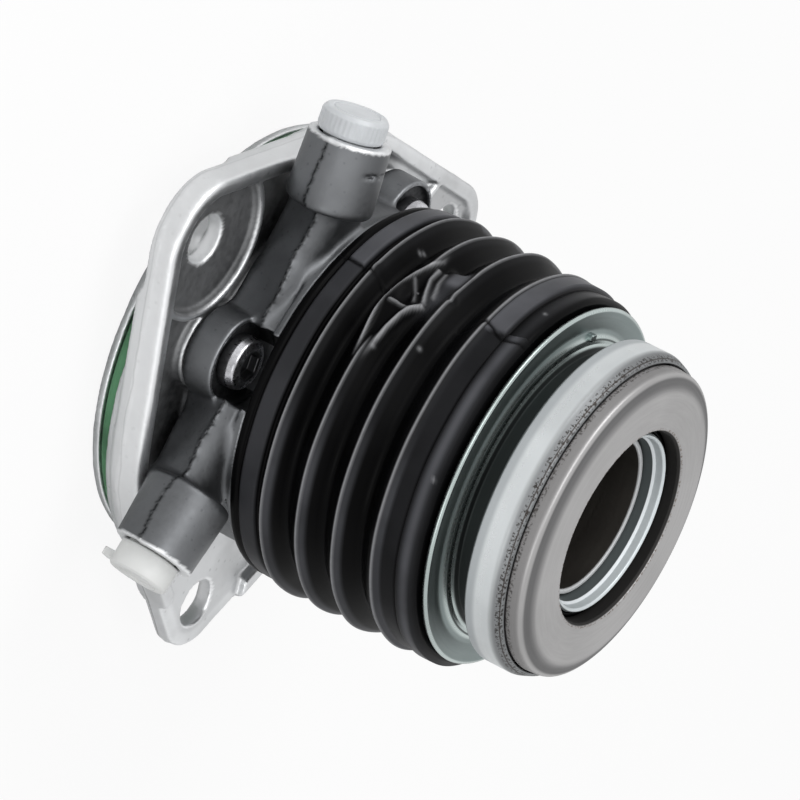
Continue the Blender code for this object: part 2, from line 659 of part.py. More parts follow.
def port_bosses(cutters):
    """The two round bosses, each from its end face back to its shoulder."""
    bosses = []
    for name, port in (("upper", UPPER_PORT), ("lower", LOWER_PORT)):
        start = in_port(port, 0, 0, -PORT_LENGTH)
        end = in_port(port, 0, 0, 0)
        boss = rod(name + "_boss_form", start, end, PORT_FOOT_RADIUS, cutters, steps=24,
                   end_radius=PORT_RADIUS)
        chamfer = boss.modifiers.new("edges", "BEVEL")
        chamfer.width = 0.7 * MM
        chamfer.segments = 2
        chamfer.limit_method = "ANGLE"
        bosses.append(boss)
    return bosses


def screw_lobes(cutters):
    """The round lobes that hold the three body screws."""
    lobes = []
    for index, angle in enumerate(SCREW_ANGLES):
        low = polar(SCREW_CIRCLE_RADIUS, angle, BODY_REAR)
        high = polar(SCREW_CIRCLE_RADIUS, angle, LOBE_TOP)
        lobes.append(rod("lobe_%d" % (index + 1), low, high, LOBE_RADIUS, cutters, steps=20,
                         end_radius=LOBE_RADIUS - 0.4 * MM))
    return lobes


def screw_pocket(index, angle, cutters):
    """The well round a screw head, open to the front, and the screw's clearance hole."""
    shank = SCREW_SHANK_RADIUS + GAP
    top = BELLOWS_SEAT_TOP + 2.0 * MM
    pocket = turned("screw_pocket_%d" % (index + 1), [
        (0.0, top), (SCREW_POCKET_RADIUS, top), (SCREW_POCKET_RADIUS, SCREW_SEAT),
        (shank, SCREW_SEAT), (shank, BODY_REAR - 2.0 * MM), (0.0, BODY_REAR - 2.0 * MM)],
        cutters, steps=SMALL, closed=False)
    pocket.location = polar(SCREW_CIRCLE_RADIUS, angle)
    return pocket


def port_bore(name, port, cutters):
    """The stepped socket in a port boss."""
    bore = turned(name + "_port_bore", [
        (0.0, 1.0 * MM), (PORT_MOUTH_RADIUS, 1.0 * MM), (PORT_MOUTH_RADIUS, -PORT_MOUTH_DEPTH),
        (PORT_BORE, -PORT_MOUTH_DEPTH), (PORT_BORE, -PORT_DEPTH), (0.0, -PORT_DEPTH)],
        cutters, steps=SMALL, closed=False)
    bore.matrix_world = port_frame(port)
    return bore


def port_passage(name, port, cutters):
    """The drilled way from the foot of a port to the cylinder's chamber."""
    start = in_port(port, 0, 0, -PORT_DEPTH + 2.0 * MM)
    inward = Vector((-start.x, -start.y, 0)).normalized()
    middle = (BODY_BORE + SLEEVE_RADIUS) / 2
    end = -inward * middle
    end.z = CHAMBER_FLOOR + PASSAGE_RADIUS + 0.4 * MM
    return rod(name + "_passage", start, end, PASSAGE_RADIUS, cutters, steps=12)


def wire(name, points, radius, parts, finish):
    """A round wire along the points, with closed ends."""
    curve = bpy.data.curves.new(name, "CURVE")
    curve.dimensions = "3D"
    curve.bevel_depth = radius
    curve.bevel_resolution = 2
    curve.use_fill_caps = True
    spline = curve.splines.new("POLY")
    spline.points.add(len(points) - 1)
    for point, target in zip(spline.points, points):
        point.co = (target[0], target[1], target[2], 1.0)
    curve.materials.append(material(finish))
    item = bpy.data.objects.new(name, curve)
    parts.objects.link(item)
    return item


def guide_sleeve(parts):
    """The drawn steel sleeve that the piston slides on, with its rear collar."""
    edge = 0.3 * MM
    return turned("guide_sleeve", [
        (SLEEVE_RADIUS - edge, SLEEVE_TOP), (SLEEVE_RADIUS, SLEEVE_TOP - edge),
        (SLEEVE_RADIUS, COLLAR_TOP), (COLLAR_RADIUS, COLLAR_TOP),
        (COLLAR_RADIUS, COLLAR_BOTTOM), (SLEEVE_BORE, COLLAR_BOTTOM),
        (SLEEVE_BORE, SLEEVE_TOP)], parts, "bearing_steel", steps=TUBE)


def sleeve_o_ring(parts):
    """The sealing ring between the sleeve's collar and the body."""
    tube = (SLEEVE_RING_GROOVE - 2 * GAP) / 2
    height = COLLAR_TOP + GAP + tube
    return ring("sleeve_o_ring", SLEEVE_RADIUS + GAP + tube, tube, height, parts, "rubber",
                steps=PLAIN, sides=8)


def body_screws(parts, cutters):
    """Three round-head screws that hold the body to the flange."""
    seat = SCREW_SEAT + GAP
    edge = 0.9 * MM
    head_top = seat + SCREW_HEAD_HEIGHT
    tip = seat - SCREW_LENGTH
    screws = []
    for index, angle in enumerate(SCREW_ANGLES):
        crown = arc(SCREW_HEAD_RADIUS - edge, head_top - edge, edge, 90, 0, 3)
        screw = turned("body_screw_%d" % (index + 1), [
            (0.0, head_top)] + crown + [
            (SCREW_HEAD_RADIUS, seat), (SCREW_SHANK_RADIUS, seat),
            (SCREW_SHANK_RADIUS, tip + 0.5 * MM), (SCREW_SHANK_RADIUS - 0.5 * MM, tip),
            (0.0, tip)], parts, "zinc", steps=SMALL, closed=False)
        screw.location = polar(SCREW_CIRCLE_RADIUS, angle)
        drive_low = polar(SCREW_CIRCLE_RADIUS, angle, head_top - SCREW_DRIVE_DEPTH)
        drive_high = polar(SCREW_CIRCLE_RADIUS, angle, head_top + 1.0 * MM)
        drive = rod("drive_cut_%d" % (index + 1), drive_low, drive_high, SCREW_DRIVE_RADIUS,
                    cutters, steps=6)
        combine(screw, drive, "DIFFERENCE")
        screws.append(screw)
    return screws


def port_cap(parts):
    """The white transport cap in the upper port, with its stem and raised top disc."""
    seat = GAP
    top = seat + CAP_HEIGHT
    edge = 0.6 * MM
    disc = CAP_RADIUS * 0.62
    stem = PORT_BORE - GAP
    cap = turned("upper_port_cap", [
        (0.0, top + 0.3 * MM), (disc, top + 0.3 * MM), (disc + 0.3 * MM, top)]
        + arc(CAP_RADIUS - edge, top - edge, edge, 90, 0, 2) + [
        (CAP_RADIUS, seat), (stem, seat), (stem, -CAP_STEM), (stem - 1.2 * MM, -CAP_STEM),
        (stem - 1.2 * MM, -1.0 * MM), (0.0, -1.0 * MM)],
        parts, "white_plastic", steps=PLAIN, closed=False)
    cap.matrix_world = port_frame(UPPER_PORT)
    return cap


def port_plug(parts, cutters):
    """The clear transport plug in the lower port, with the tab that pulls it out."""
    seat = GAP
    top = seat + PLUG_HEIGHT
    edge = 0.5 * MM
    stem = PORT_BORE - GAP
    plug = turned("lower_port_plug", [
        (0.0, top)] + arc(PLUG_RADIUS - edge, top - edge, edge, 90, 0, 2) + [
        (PLUG_RADIUS, seat), (stem, seat), (stem, -CAP_STEM), (stem - 1.2 * MM, -CAP_STEM),
        (stem - 1.2 * MM, -1.0 * MM), (0.0, -1.0 * MM)],
        parts, "clear_plastic", steps=PLAIN, closed=False)
    plug.matrix_world = port_frame(LOWER_PORT)
    tab = block("plug_tab_form", (-2.2 * MM, -PLUG_RADIUS - PLUG_TAB_LENGTH, top - 3.4 * MM),
                (2.2 * MM, -PLUG_RADIUS + 2.0 * MM, top - 3.4 * MM + PLUG_TAB_THICKNESS),
                cutters, turn=port_frame(LOWER_PORT))
    combine(plug, tab, "UNION")
    return plug


def piston_seal(parts):
    """The grooved ring that seals the piston against sleeve and bore."""
    rear = PISTON_SEAL_REAR
    front = rear + PISTON_SEAL_WIDTH
    lip = 1.1 * MM
    valley = rear + PISTON_SEAL_WIDTH * 0.5
    middle = (PISTON_BORE + PISTON_RADIUS) / 2
    return turned("piston_seal", [
        (PISTON_RADIUS - 0.5 * MM, front), (PISTON_RADIUS - 0.5 * MM, valley),
        (PISTON_RADIUS, rear + 0.8 * MM), (PISTON_RADIUS - 0.3 * MM, rear),
        (PISTON_RADIUS - lip, rear), (middle + 0.5 * MM, valley), (middle - 0.5 * MM, valley),
        (PISTON_BORE + lip, rear), (PISTON_BORE + 0.3 * MM, rear),
        (PISTON_BORE, rear + 0.8 * MM), (PISTON_BORE + 0.5 * MM, valley),
        (PISTON_BORE + 0.5 * MM, front)], parts, "rubber")


def piston(parts):
    """The ring-shaped piston with the flange that carries the cover and the bearing."""
    snout = PISTON_BORE + PISTON_SNOUT_WALL
    snout_top = COVER_TOP
    edge = 0.5 * MM
    return turned("piston", [
        (snout, snout_top), (snout, PISTON_FLANGE_TOP), (PISTON_FLANGE_RADIUS, PISTON_FLANGE_TOP),
        (PISTON_FLANGE_RADIUS, PISTON_FLANGE_BOTTOM), (PISTON_NECK_RADIUS, PISTON_FLANGE_BOTTOM),
        (PISTON_NECK_RADIUS, PISTON_GUIDE_TOP + edge), (PISTON_RADIUS, PISTON_GUIDE_TOP),
        (PISTON_RADIUS, PISTON_REAR + edge), (PISTON_RADIUS - edge, PISTON_REAR),
        (PISTON_BORE, PISTON_REAR), (PISTON_BORE, snout_top)], parts, "aluminium")


def spring_cover(parts, cutters):
    """The pressed steel cover: spring seat, flared rim, bearing collar and bent tab."""
    hole = PISTON_BORE + PISTON_SNOUT_WALL + GAP
    collar_outer = COVER_COLLAR_RADIUS
    collar_inner = collar_outer - COVER_SHEET
    collar_top = COVER_TOP + COVER_COLLAR_HEIGHT
    groove_low = RACE_FLANGE_TOP
    groove_top = groove_low + RETAINER_THICKNESS + 2 * GAP
    rim = COVER_EDGE_RADIUS
    dip = COVER_DIP
    cover = turned("spring_cover", [
        (collar_inner, collar_top), (collar_outer - 0.2 * MM, collar_top),
        (collar_outer, collar_top - 0.3 * MM),
        (collar_outer, COVER_TOP + 0.9 * MM), (collar_outer + 0.3 * MM, COVER_TOP + 0.2 * MM),
        (collar_outer + 1.2 * MM, COVER_TOP - dip), (rim - 3.4 * MM, COVER_TOP - dip - 0.1 * MM),
        (rim - 1.6 * MM, COVER_TOP - dip + 0.05 * MM), (rim - 0.3 * MM, COVER_TOP - 0.5 * MM),
        (rim, COVER_TOP - 0.7 * MM), (rim - 0.2 * MM, COVER_TOP - 1.1 * MM),
        (rim - 1.4 * MM, COVER_BOTTOM - dip), (collar_outer + 0.8 * MM, COVER_BOTTOM - dip),
        (collar_outer - 1.0 * MM, COVER_BOTTOM), (hole, COVER_BOTTOM), (hole, COVER_TOP),
        (collar_inner, COVER_TOP), (collar_inner, groove_low),
        (collar_inner + RETAINER_GROOVE, groove_low), (collar_inner + RETAINER_GROOVE, groove_top),
        (collar_inner, groove_top)], parts, "zinc", steps=FINE)
    tab_turn = Matrix.Rotation(math.radians(COVER_TAB_ANGLE), 4, "Z")
    tab = block("tab_form", (COVER_TAB_RADIUS - 1.1 * MM, -1.0 * MM, COVER_TOP - dip - 0.6 * MM),
                (COVER_TAB_RADIUS + 0.9 * MM, 1.0 * MM, COVER_TOP - dip + 1.3 * MM), cutters,
                turn=tab_turn)
    combine(cover, tab, "UNION")
    return cover


def retaining_ring(parts, cutters):
    """The split ring in the cover's collar that holds the bearing down."""
    inner = COVER_COLLAR_RADIUS - COVER_SHEET
    low = RACE_FLANGE_TOP + GAP
    high = low + RETAINER_THICKNESS
    outer = inner + RETAINER_GROOVE - GAP
    mouth = RACE_FLANGE_RADIUS - 1.2 * MM
    snap = turned("retaining_ring", [(outer, high), (outer, low), (mouth, low), (mouth, high)],
                  parts, "bearing_steel")
    split = block("ring_split_cut", (mouth - MM, -3.0 * MM, low - MM),
                  (outer + MM, 3.0 * MM, high + MM), cutters)
    combine(snap, split, "DIFFERENCE")
    return snap


def inner_race(parts):
    """The standing race with its rounded front lip and the flange on the cover."""
    bore = SLEEVE_RADIUS + GAP + 0.1 * MM
    lip_middle = (bore + RACE_LIP_RADIUS) / 2
    lip_half = (RACE_LIP_RADIUS - bore) / 2
    lip = arc(lip_middle, RACE_TOP - lip_half, lip_half, 180, 0, 4)
    start = math.degrees(math.acos((BALL_CIRCLE - RACE_SHOULDER_RADIUS) / RACEWAY))
    groove = arc(BALL_CIRCLE, BALL_HEIGHT, RACEWAY, 145, 180 + start, 4)
    return turned("inner_race", lip + [(RACE_LIP_RADIUS, RACE_TOP - 2.2 * MM),
                                       (RACE_LIP_RADIUS + 0.8 * MM, RACE_TOP - 3.6 * MM)]
                  + groove + [
        (RACE_SHOULDER_RADIUS, RACE_FLANGE_TOP), (RACE_FLANGE_RADIUS, RACE_FLANGE_TOP),
        (RACE_FLANGE_RADIUS, RACE_BOTTOM), (bore, RACE_BOTTOM)], parts, "zinc")


def thrust_ring(parts):
    """The turning race: raceway inside, flat face in front, shoulder at its rim."""
    shoulder = arc(THRUST_RADIUS - THRUST_SHOULDER, THRUST_FACE - THRUST_SHOULDER,
                   THRUST_SHOULDER, 90, 0, 4)
    raceway = arc(BALL_CIRCLE, BALL_HEIGHT, RACEWAY, 0, 90, 4)
    plate_bottom = THRUST_FACE - THRUST_PLATE
    chamfer = 0.3 * MM
    groove = SHELL_TOP + GAP
    return turned("thrust_ring", shoulder + [
        (THRUST_RADIUS, groove + 0.5 * MM), (THRUST_RADIUS - 0.3 * MM, groove + 0.1 * MM),
        (THRUST_RADIUS - 0.3 * MM, THRUST_BOTTOM), (BALL_CIRCLE + RACEWAY, THRUST_BOTTOM)]
        + raceway + [
        (BALL_CIRCLE, plate_bottom - 1.0 * MM), (THRUST_HOLE_RADIUS + 3.4 * MM, plate_bottom),
        (THRUST_HOLE_RADIUS, plate_bottom),
        (THRUST_HOLE_RADIUS, THRUST_FACE - 2 * chamfer),
        (THRUST_HOLE_RADIUS + chamfer, THRUST_FACE)], parts, "bearing_steel", steps=FACE)


def bearing_shell(parts):
    """The sheet shell crimped round the thrust ring."""
    inner = THRUST_RADIUS + GAP
    outer = inner + SHELL_WALL
    sheet = 1.0 * MM
    return turned("bearing_shell", [
        (inner, SHELL_TOP), (outer - 0.9 * MM, SHELL_TOP), (outer - 0.35 * MM, SHELL_TOP - 0.5 * MM),
        (outer, SHELL_TOP - 1.6 * MM), (outer, SHELL_REAR + 0.4 * MM),
        (outer - 0.4 * MM, SHELL_REAR), (SHELL_MOUTH_RADIUS, SHELL_REAR),
        (SHELL_MOUTH_RADIUS, SHELL_REAR + sheet), (inner, SHELL_REAR + sheet)],
        parts, "zinc", steps=FINE)


def bearing_seal(parts):
    """The rubber ring that closes the gap between the race's lip and the thrust ring."""
    outer = THRUST_HOLE_RADIUS - GAP
    inner = outer - BEARING_SEAL_WIDTH + 0.2 * MM
    bottom = THRUST_FACE - THRUST_PLATE - GAP
    wing = 1.0 * MM
    return turned("bearing_seal", [
        (outer, THRUST_FACE - 2.0 * MM), (outer, bottom),
        (THRUST_HOLE_RADIUS + 2.4 * MM, bottom), (THRUST_HOLE_RADIUS + 2.4 * MM, bottom - wing),
        (inner + 0.3 * MM, bottom - wing), (inner, THRUST_FACE - 2.0 * MM)], parts, "rubber")


def ball_angles():
    """The angles of the balls round the bearing."""
    return [360.0 * i / BALL_COUNT for i in range(BALL_COUNT)]


def bearing_balls(parts):
    """The balls, each a sphere between the two raceways."""
    builder = bmesh.new()
    bmesh.ops.create_icosphere(builder, subdivisions=2, radius=BALL_RADIUS)
    mesh = bpy.data.meshes.new("ball")
    builder.to_mesh(mesh)
    builder.free()
    mesh.shade_smooth()
    mesh.materials.append(material("bearing_steel"))
    balls = []
    for index, angle in enumerate(ball_angles()):
        ball = bpy.data.objects.new("ball_%02d" % (index + 1), mesh)
        ball.location = polar(BALL_CIRCLE, angle, BALL_HEIGHT)
        parts.objects.link(ball)
        balls.append(ball)
    return balls


def ball_cage(parts, cutters):
    """The comb cage: a ring with a pocket open to the front for each ball."""
    inner = BALL_CIRCLE - CAGE_HALF_WIDTH
    outer = BALL_CIRCLE + CAGE_HALF_WIDTH
    bottom = BALL_HEIGHT - RACEWAY - 0.8 * MM
    top = BALL_HEIGHT + BALL_RADIUS * 0.5
    cage = turned("ball_cage", [(outer, top), (outer, bottom), (inner, bottom), (inner, top)],
                  parts, "cage_plastic", steps=BALL_COUNT * 4)
    for index, angle in enumerate(ball_angles()):
        low = polar(inner - 1.0 * MM, angle, BALL_HEIGHT)
        high = polar(outer + 1.0 * MM, angle, BALL_HEIGHT)
        pocket = rod("cage_pocket_%02d" % (index + 1), low, high, RACEWAY, cutters, steps=10)
        combine(cage, pocket, "DIFFERENCE")
    return cage


def preload_spring(parts):
    """The coil spring between the body and the cover, with a flat turn at each end."""
    low = SPRING_SEAT + GAP + SPRING_WIRE
    high = COVER_BOTTOM - COVER_DIP - GAP - SPRING_WIRE
    closed = 0.8
    pitch = 2 * SPRING_WIRE + GAP
    total = SPRING_TURNS + 2 * closed
    count = round(total * SPRING_POINTS)
    points = []
    for i in range(count + 1):
        turn = total * i / count
        if turn < closed:
            height = low + pitch * turn / closed * 0.5
        elif turn > total - closed:
            height = high - pitch * (total - turn) / closed * 0.5
        else:
            share = (turn - closed) / (total - 2 * closed)
            height = low + pitch * 0.5 + share * (high - low - pitch)
        points.append(polar(SPRING_RADIUS, 360.0 * turn, height))
    return wire("preload_spring", points, SPRING_WIRE, parts, "bearing_steel")


def bellows_profile():
    """Outer and inner line of the bellows, base first, as (radius, height) points."""
    base = BELLOWS_BASE
    end = BELLOWS_END
    first = base + BELLOWS_FOOT
    last = end - BELLOWS_HEAD
    band_top = end - BELLOWS_BAND
    crests = [first + (last - first) * i / BELLOWS_FOLDS for i in range(BELLOWS_FOLDS + 1)]
    band = BELLOWS_BASE_RADIUS
    crest = BELLOWS_CREST_RADIUS
    valley = BELLOWS_VALLEY_RADIUS
    wall = BELLOWS_WALL
    seat = BODY_RADIUS + GAP
    groove = 0.5 * MM
    outer = [(band - groove, base), (band, base + groove), (band, base + 1.9 * MM),
             (band - groove, base + 2.3 * MM), (band + 0.4 * MM, base + 2.8 * MM),
             (band + 0.4 * MM, first - 1.8 * MM), (band - groove, first - 1.3 * MM),
             (crest, first)]
    inner = [(seat, base), (seat, first - 1.4 * MM), (crest - wall, first)]
    for before, after in zip(crests, crests[1:]):
        middle = (before + after) / 2
        outer += [(valley, middle), (crest, after)]
        inner += [(valley - wall, middle), (crest - wall, after)]
    lip = BELLOWS_LIP_RADIUS
    plate_edge = lip - BELLOWS_WALL - groove
    outer += [(crest - 0.7 * MM, last + 1.0 * MM), (crest - 0.7 * MM, band_top),
              (lip - groove, band_top + 0.8 * MM), (lip, band_top + 1.5 * MM),
              (lip, end)]
    inner += [(plate_edge, band_top), (plate_edge, end - BELLOWS_END_THICKNESS),
              (plate_edge - BELLOWS_END_WIDTH, end - BELLOWS_END_THICKNESS),
              (plate_edge - BELLOWS_END_WIDTH, end)]
    return outer, inner


def bellows(parts):
    """The rubber bellows from the body's seat to the cover."""
    outer, inner = bellows_profile()
    return turned("bellows", outer[::-1] + inner, parts, "rubber", steps=FINE)


def moving_frame(parts, name, members):
    """Parent the members to an empty on the cylinder's axis."""
    frame = bpy.data.objects.new(name, None)
    frame.location = (0.0, 0.0, THRUST_FACE)
    parts.objects.link(frame)
    bpy.context.view_layer.update()
    for member in members:
        member.parent = frame
        member.matrix_parent_inverse = frame.matrix_world.inverted()
    return frame


def main():
    """Build every piece of the slave cylinder."""
    clear_scene()
    parts = new_collection("concentric_slave_cylinder")
    cutters = new_collection("cutters")

    adapter_flange(parts, cutters)
    flange_o_ring(parts)
    shaft_seal(parts)
    garter_spring(parts)
    cylinder_body(parts, cutters)
    guide_sleeve(parts)
    sleeve_o_ring(parts)
    body_screws(parts, cutters)
    port_cap(parts)
    port_plug(parts, cutters)
    preload_spring(parts)
    bellows(parts)

    sliding = [piston_seal(parts), piston(parts), spring_cover(parts, cutters),
               retaining_ring(parts, cutters), inner_race(parts)]
    caged = [ball_cage(parts, cutters)] + bearing_balls(parts)
    spinning = [thrust_ring(parts), bearing_shell(parts), bearing_seal(parts)]
    slide = moving_frame(parts, "slide_frame", sliding)
    cage = moving_frame(parts, "cage_frame", caged)
    spin = moving_frame(parts, "spin_frame", spinning)
    for follower in (cage, spin):
        follower.parent = slide
        follower.matrix_parent_inverse = slide.matrix_world.inverted()


main()
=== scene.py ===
"""Looks of a concentric slave cylinder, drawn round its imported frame."""

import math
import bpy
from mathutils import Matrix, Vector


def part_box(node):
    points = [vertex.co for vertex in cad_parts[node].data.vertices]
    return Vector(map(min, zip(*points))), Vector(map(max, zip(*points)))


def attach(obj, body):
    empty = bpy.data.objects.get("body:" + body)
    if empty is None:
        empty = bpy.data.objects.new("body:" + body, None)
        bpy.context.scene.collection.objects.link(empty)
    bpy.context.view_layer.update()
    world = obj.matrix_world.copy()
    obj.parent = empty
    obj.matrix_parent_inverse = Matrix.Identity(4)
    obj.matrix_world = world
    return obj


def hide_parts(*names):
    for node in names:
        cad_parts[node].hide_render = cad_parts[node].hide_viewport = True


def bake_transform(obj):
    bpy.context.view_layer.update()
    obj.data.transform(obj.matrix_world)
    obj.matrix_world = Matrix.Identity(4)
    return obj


bl_info = {
    "name": "Concentric slave cylinder",
    "version": (1, 0, 0),
    "blender": (4, 5, 0),
    "location": "View3D > Sidebar > Slave cylinder",
    "description": "Castings, bellows, release bearing and transport caps with their finishes",
    "category": "Object",
}

import bpy
import numpy as np
from mathutils import Matrix, Vector

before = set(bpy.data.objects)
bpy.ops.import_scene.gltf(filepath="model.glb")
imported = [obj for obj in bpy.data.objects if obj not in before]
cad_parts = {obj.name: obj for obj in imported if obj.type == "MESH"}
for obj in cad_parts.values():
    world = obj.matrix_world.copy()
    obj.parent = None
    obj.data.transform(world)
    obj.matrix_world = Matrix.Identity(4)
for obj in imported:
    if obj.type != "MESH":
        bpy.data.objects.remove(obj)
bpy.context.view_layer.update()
MM = 0.001
FULL_TURN = 2 * math.pi


# shapes

def smooth_min(a, b, k):
    """Smaller of two distances, blended over the width k."""
    h = np.maximum(k - np.abs(a - b), 0.0) / k
    return np.minimum(a, b) - h * h * k * 0.25


def smooth_max(a, b, k):
    """Larger of two distances, blended over the width k."""
    return -smooth_min(-a, -b, k)


def step(edge0, edge1, x):
    """Smooth step from 0 to 1 between two edges: three squares less two cubes of the share."""
    t = np.clip((x - edge0) / (edge1 - edge0), 0.0, 1.0)
    return t * t * (3 - 2 * t)


def bump(x, centre, width):
    """Bell curve of height 1: e to minus the square of the distance over the width."""
    return np.exp(-((x - centre) / width) ** 2)


def softened(corners, closed=True, steps=4, guard=0.25):
    """Polyline of (radius, height) whose corners (r, z, fillet) become parabolic arcs, with
    a guard point on each straight run next to an arc."""
    points = []
    count = len(corners)
    for i, (r, z, fillet) in enumerate(corners):
        here = np.array((r, z), float)
        at_end = not closed and i in (0, count - 1)
        if at_end or fillet == 0:
            points.append(here)
            continue
        before = np.array(corners[i - 1][:2], float)
        after = np.array(corners[(i + 1) % count][:2], float)
        back, ahead = before - here, after - here
        long_back, long_ahead = np.linalg.norm(back), np.linalg.norm(ahead)
        back, ahead = back / long_back, ahead / long_ahead
        half = math.acos(max(-1.0, min(1.0, float(back @ ahead)))) / 2
        reach = min(fillet / max(math.tan(half), 0.05), 0.45 * long_back, 0.45 * long_ahead)
        first, last = here + back * reach, here + ahead * reach
        spare = min(guard, 0.2 * (long_back - reach))
        points.append(first + back * spare)
        for t in np.linspace(0.0, 1.0, steps + 1):
            points.append((1 - t) ** 2 * first + 2 * t * (1 - t) * here + t * t * last)
        points.append(last + ahead * min(guard, 0.2 * (long_ahead - reach)))
    return np.array(points)


def polar(radius, angle, height):
    """Places at a radius and an angle about Z, and at a height."""
    return np.stack([radius * np.cos(angle), radius * np.sin(angle), height + 0 * angle], axis=-1)


def ring_of(count):
    """Angles of a full turn, the last step left open."""
    return np.linspace(0.0, FULL_TURN, count, endpoint=False)


def rounded_square(angle, power):
    """Radius of a square with round corners: 1 over the root of |cos| and |sin| to a power."""
    return (np.abs(np.cos(angle)) ** power + np.abs(np.sin(angle)) ** power) ** (-1 / power)


def turn_matrix(angle):
    """Matrix that turns rows of points by an angle about Z."""
    return np.array([[math.cos(angle), math.sin(angle), 0],
                     [-math.sin(angle), math.cos(angle), 0], [0, 0, 1]])


def lathe(profile, turns=180, closed=True):
    """Surface of revolution: radius and height follow the profile, which runs anticlockwise
    with radius to the right, and the angle runs once round Z. Ends on the axis are poles."""
    r, z = profile[:, 0][None, :], profile[:, 1][None, :]
    return wrap_grid(polar(r, ring_of(turns)[:, None], z), closed)


def wrap_grid(grid, closed=True):
    """Faces of a grid that closes on itself round its first index and, if closed, its second.
    An open grid's first and last columns are poles, merged into one vertex each."""
    turns, count = grid.shape[:2]
    i = np.arange(turns)[:, None]
    following = (i + 1) % turns
    if closed:
        j = np.arange(count)[None, :]
        k = (j + 1) % count
        quads = np.stack([i * count + j, following * count + j, following * count + k,
                          i * count + k], axis=-1).reshape(-1, 4)
        return grid.reshape(-1, 3), [quads]
    inner = grid[:, 1:-1]
    count -= 2
    j = np.arange(count - 1)[None, :]
    quads = np.stack([i * count + j, following * count + j, following * count + j + 1,
                      i * count + j + 1], axis=-1).reshape(-1, 4)
    poles = np.stack([grid[:, 0].mean(axis=0), grid[:, -1].mean(axis=0)])
    south, north = turns * count, turns * count + 1
    ring, after = i[:, 0], following[:, 0]
    low = np.stack([after * count, ring * count, np.full(turns, south)], axis=-1)
    high = np.stack([ring * count + count - 1, after * count + count - 1,
                     np.full(turns, north)], axis=-1)
    return np.concatenate([inner.reshape(-1, 3), poles]), [quads, low, high]


def slope_of(field, points, nudge):
    """Change of the field at each point along X, Y and Z, between a nudge either way."""
    steps = nudge * np.eye(3)
    return np.stack([field(*(points + step_by).T) - field(*(points - step_by).T)
                     for step_by in steps], axis=-1)


def implicit(field, low, high, cell):
    """Skin of the places where the field is zero: one vertex in each cell of a grid that the
    skin crosses, joined across each crossed grid edge, then pulled onto the skin along the
    field's slope."""
    axes = [np.arange(a, b + cell, cell) for a, b in zip(low, high)]
    gx, gy, gz = np.meshgrid(*axes, indexing="ij", sparse=True)
    value = np.asarray(field(gx, gy, gz))
    inside = value < 0
    shape = np.array(value.shape) - 1
    count = np.zeros(shape, np.int8)
    corners = [(a, b, c) for a in (0, 1) for b in (0, 1) for c in (0, 1)]
    for a, b, c in corners:
        count += inside[a:a + shape[0], b:b + shape[1], c:c + shape[2]]
    active = (count > 0) & (count < 8)
    where = np.nonzero(active)
    number = np.full(shape, -1, np.int64)
    number[where] = np.arange(len(where[0]))
    total = np.zeros((len(where[0]), 3))
    hits = np.zeros(len(where[0]))
    for corner in corners:
        for axis in range(3):
            if corner[axis]:
                continue
            other = list(corner)
            other[axis] = 1
            v0 = value[tuple(w + d for w, d in zip(where, corner))]
            v1 = value[tuple(w + d for w, d in zip(where, other))]
            crossed = (v0 < 0) != (v1 < 0)
            share = np.where(crossed, v0 / np.where(crossed, v0 - v1, 1.0), 0.0)
            spot = np.repeat(np.array(corner, float)[None, :], len(share), axis=0)
            spot[:, axis] += share
            total += np.where(crossed[:, None], spot, 0.0)
            hits += crossed
    points = np.stack(where, axis=-1) + total / hits[:, None]
    points = np.array(low) + points * cell
    quads = []
    for axis in range(3):
        one, two = [a for a in range(3) if a != axis]
        cut = [slice(1, -1)] * 3
        cut[axis] = slice(0, -1)
        start = inside[tuple(cut)]
        cut[axis] = slice(1, None)
        crossed = start != inside[tuple(cut)]
        at = np.stack(np.nonzero(crossed), axis=-1)
        at[:, one] += 1
        at[:, two] += 1
        ring = []
        for d1, d2 in ((1, 1), (0, 1), (0, 0), (1, 0)):
            spot = at.copy()
            spot[:, one] -= d1
            spot[:, two] -= d2
            ring.append(number[tuple(spot.T)])
        quad = np.stack(ring, axis=-1)
        outward = start[np.nonzero(crossed)]
        if axis == 1:
            outward = ~outward
        quad = np.where(outward[:, None], quad[:, ::-1], quad)
        quads.append(quad)
    nudge = 0.02
    for _ in range(3):
        here = field(points[:, 0], points[:, 1], points[:, 2])
        slope = slope_of(field, points, nudge) / (2 * nudge)
        size = np.maximum((slope ** 2).sum(axis=-1), 0.2)
        move = -(here / size)[:, None] * slope
        points = points + np.clip(move, -0.4 * cell, 0.4 * cell)
    return points, [np.concatenate(quads)]


def sharpness(field, points, depth):
    """How far the skin is folded outwards at each point, 0 on a flat and 1 on a sharp edge: the
    sum of the field at four places a depth away along the skin, over twice that depth."""
    slope = slope_of(field, points, 0.05)
    slope /= np.maximum(np.linalg.norm(slope, axis=-1, keepdims=True), 1e-6)
    around = np.zeros(len(points))
    side = np.cross(slope, (0.3, 0.5, 0.81))
    side /= np.maximum(np.linalg.norm(side, axis=-1, keepdims=True), 1e-6)
    other = np.cross(slope, side)
    for turn in (side, other, -side, -other):
        around += field(*(points + turn * depth).T)
    return np.clip(around / (2.0 * depth), -1.0, 1.0)


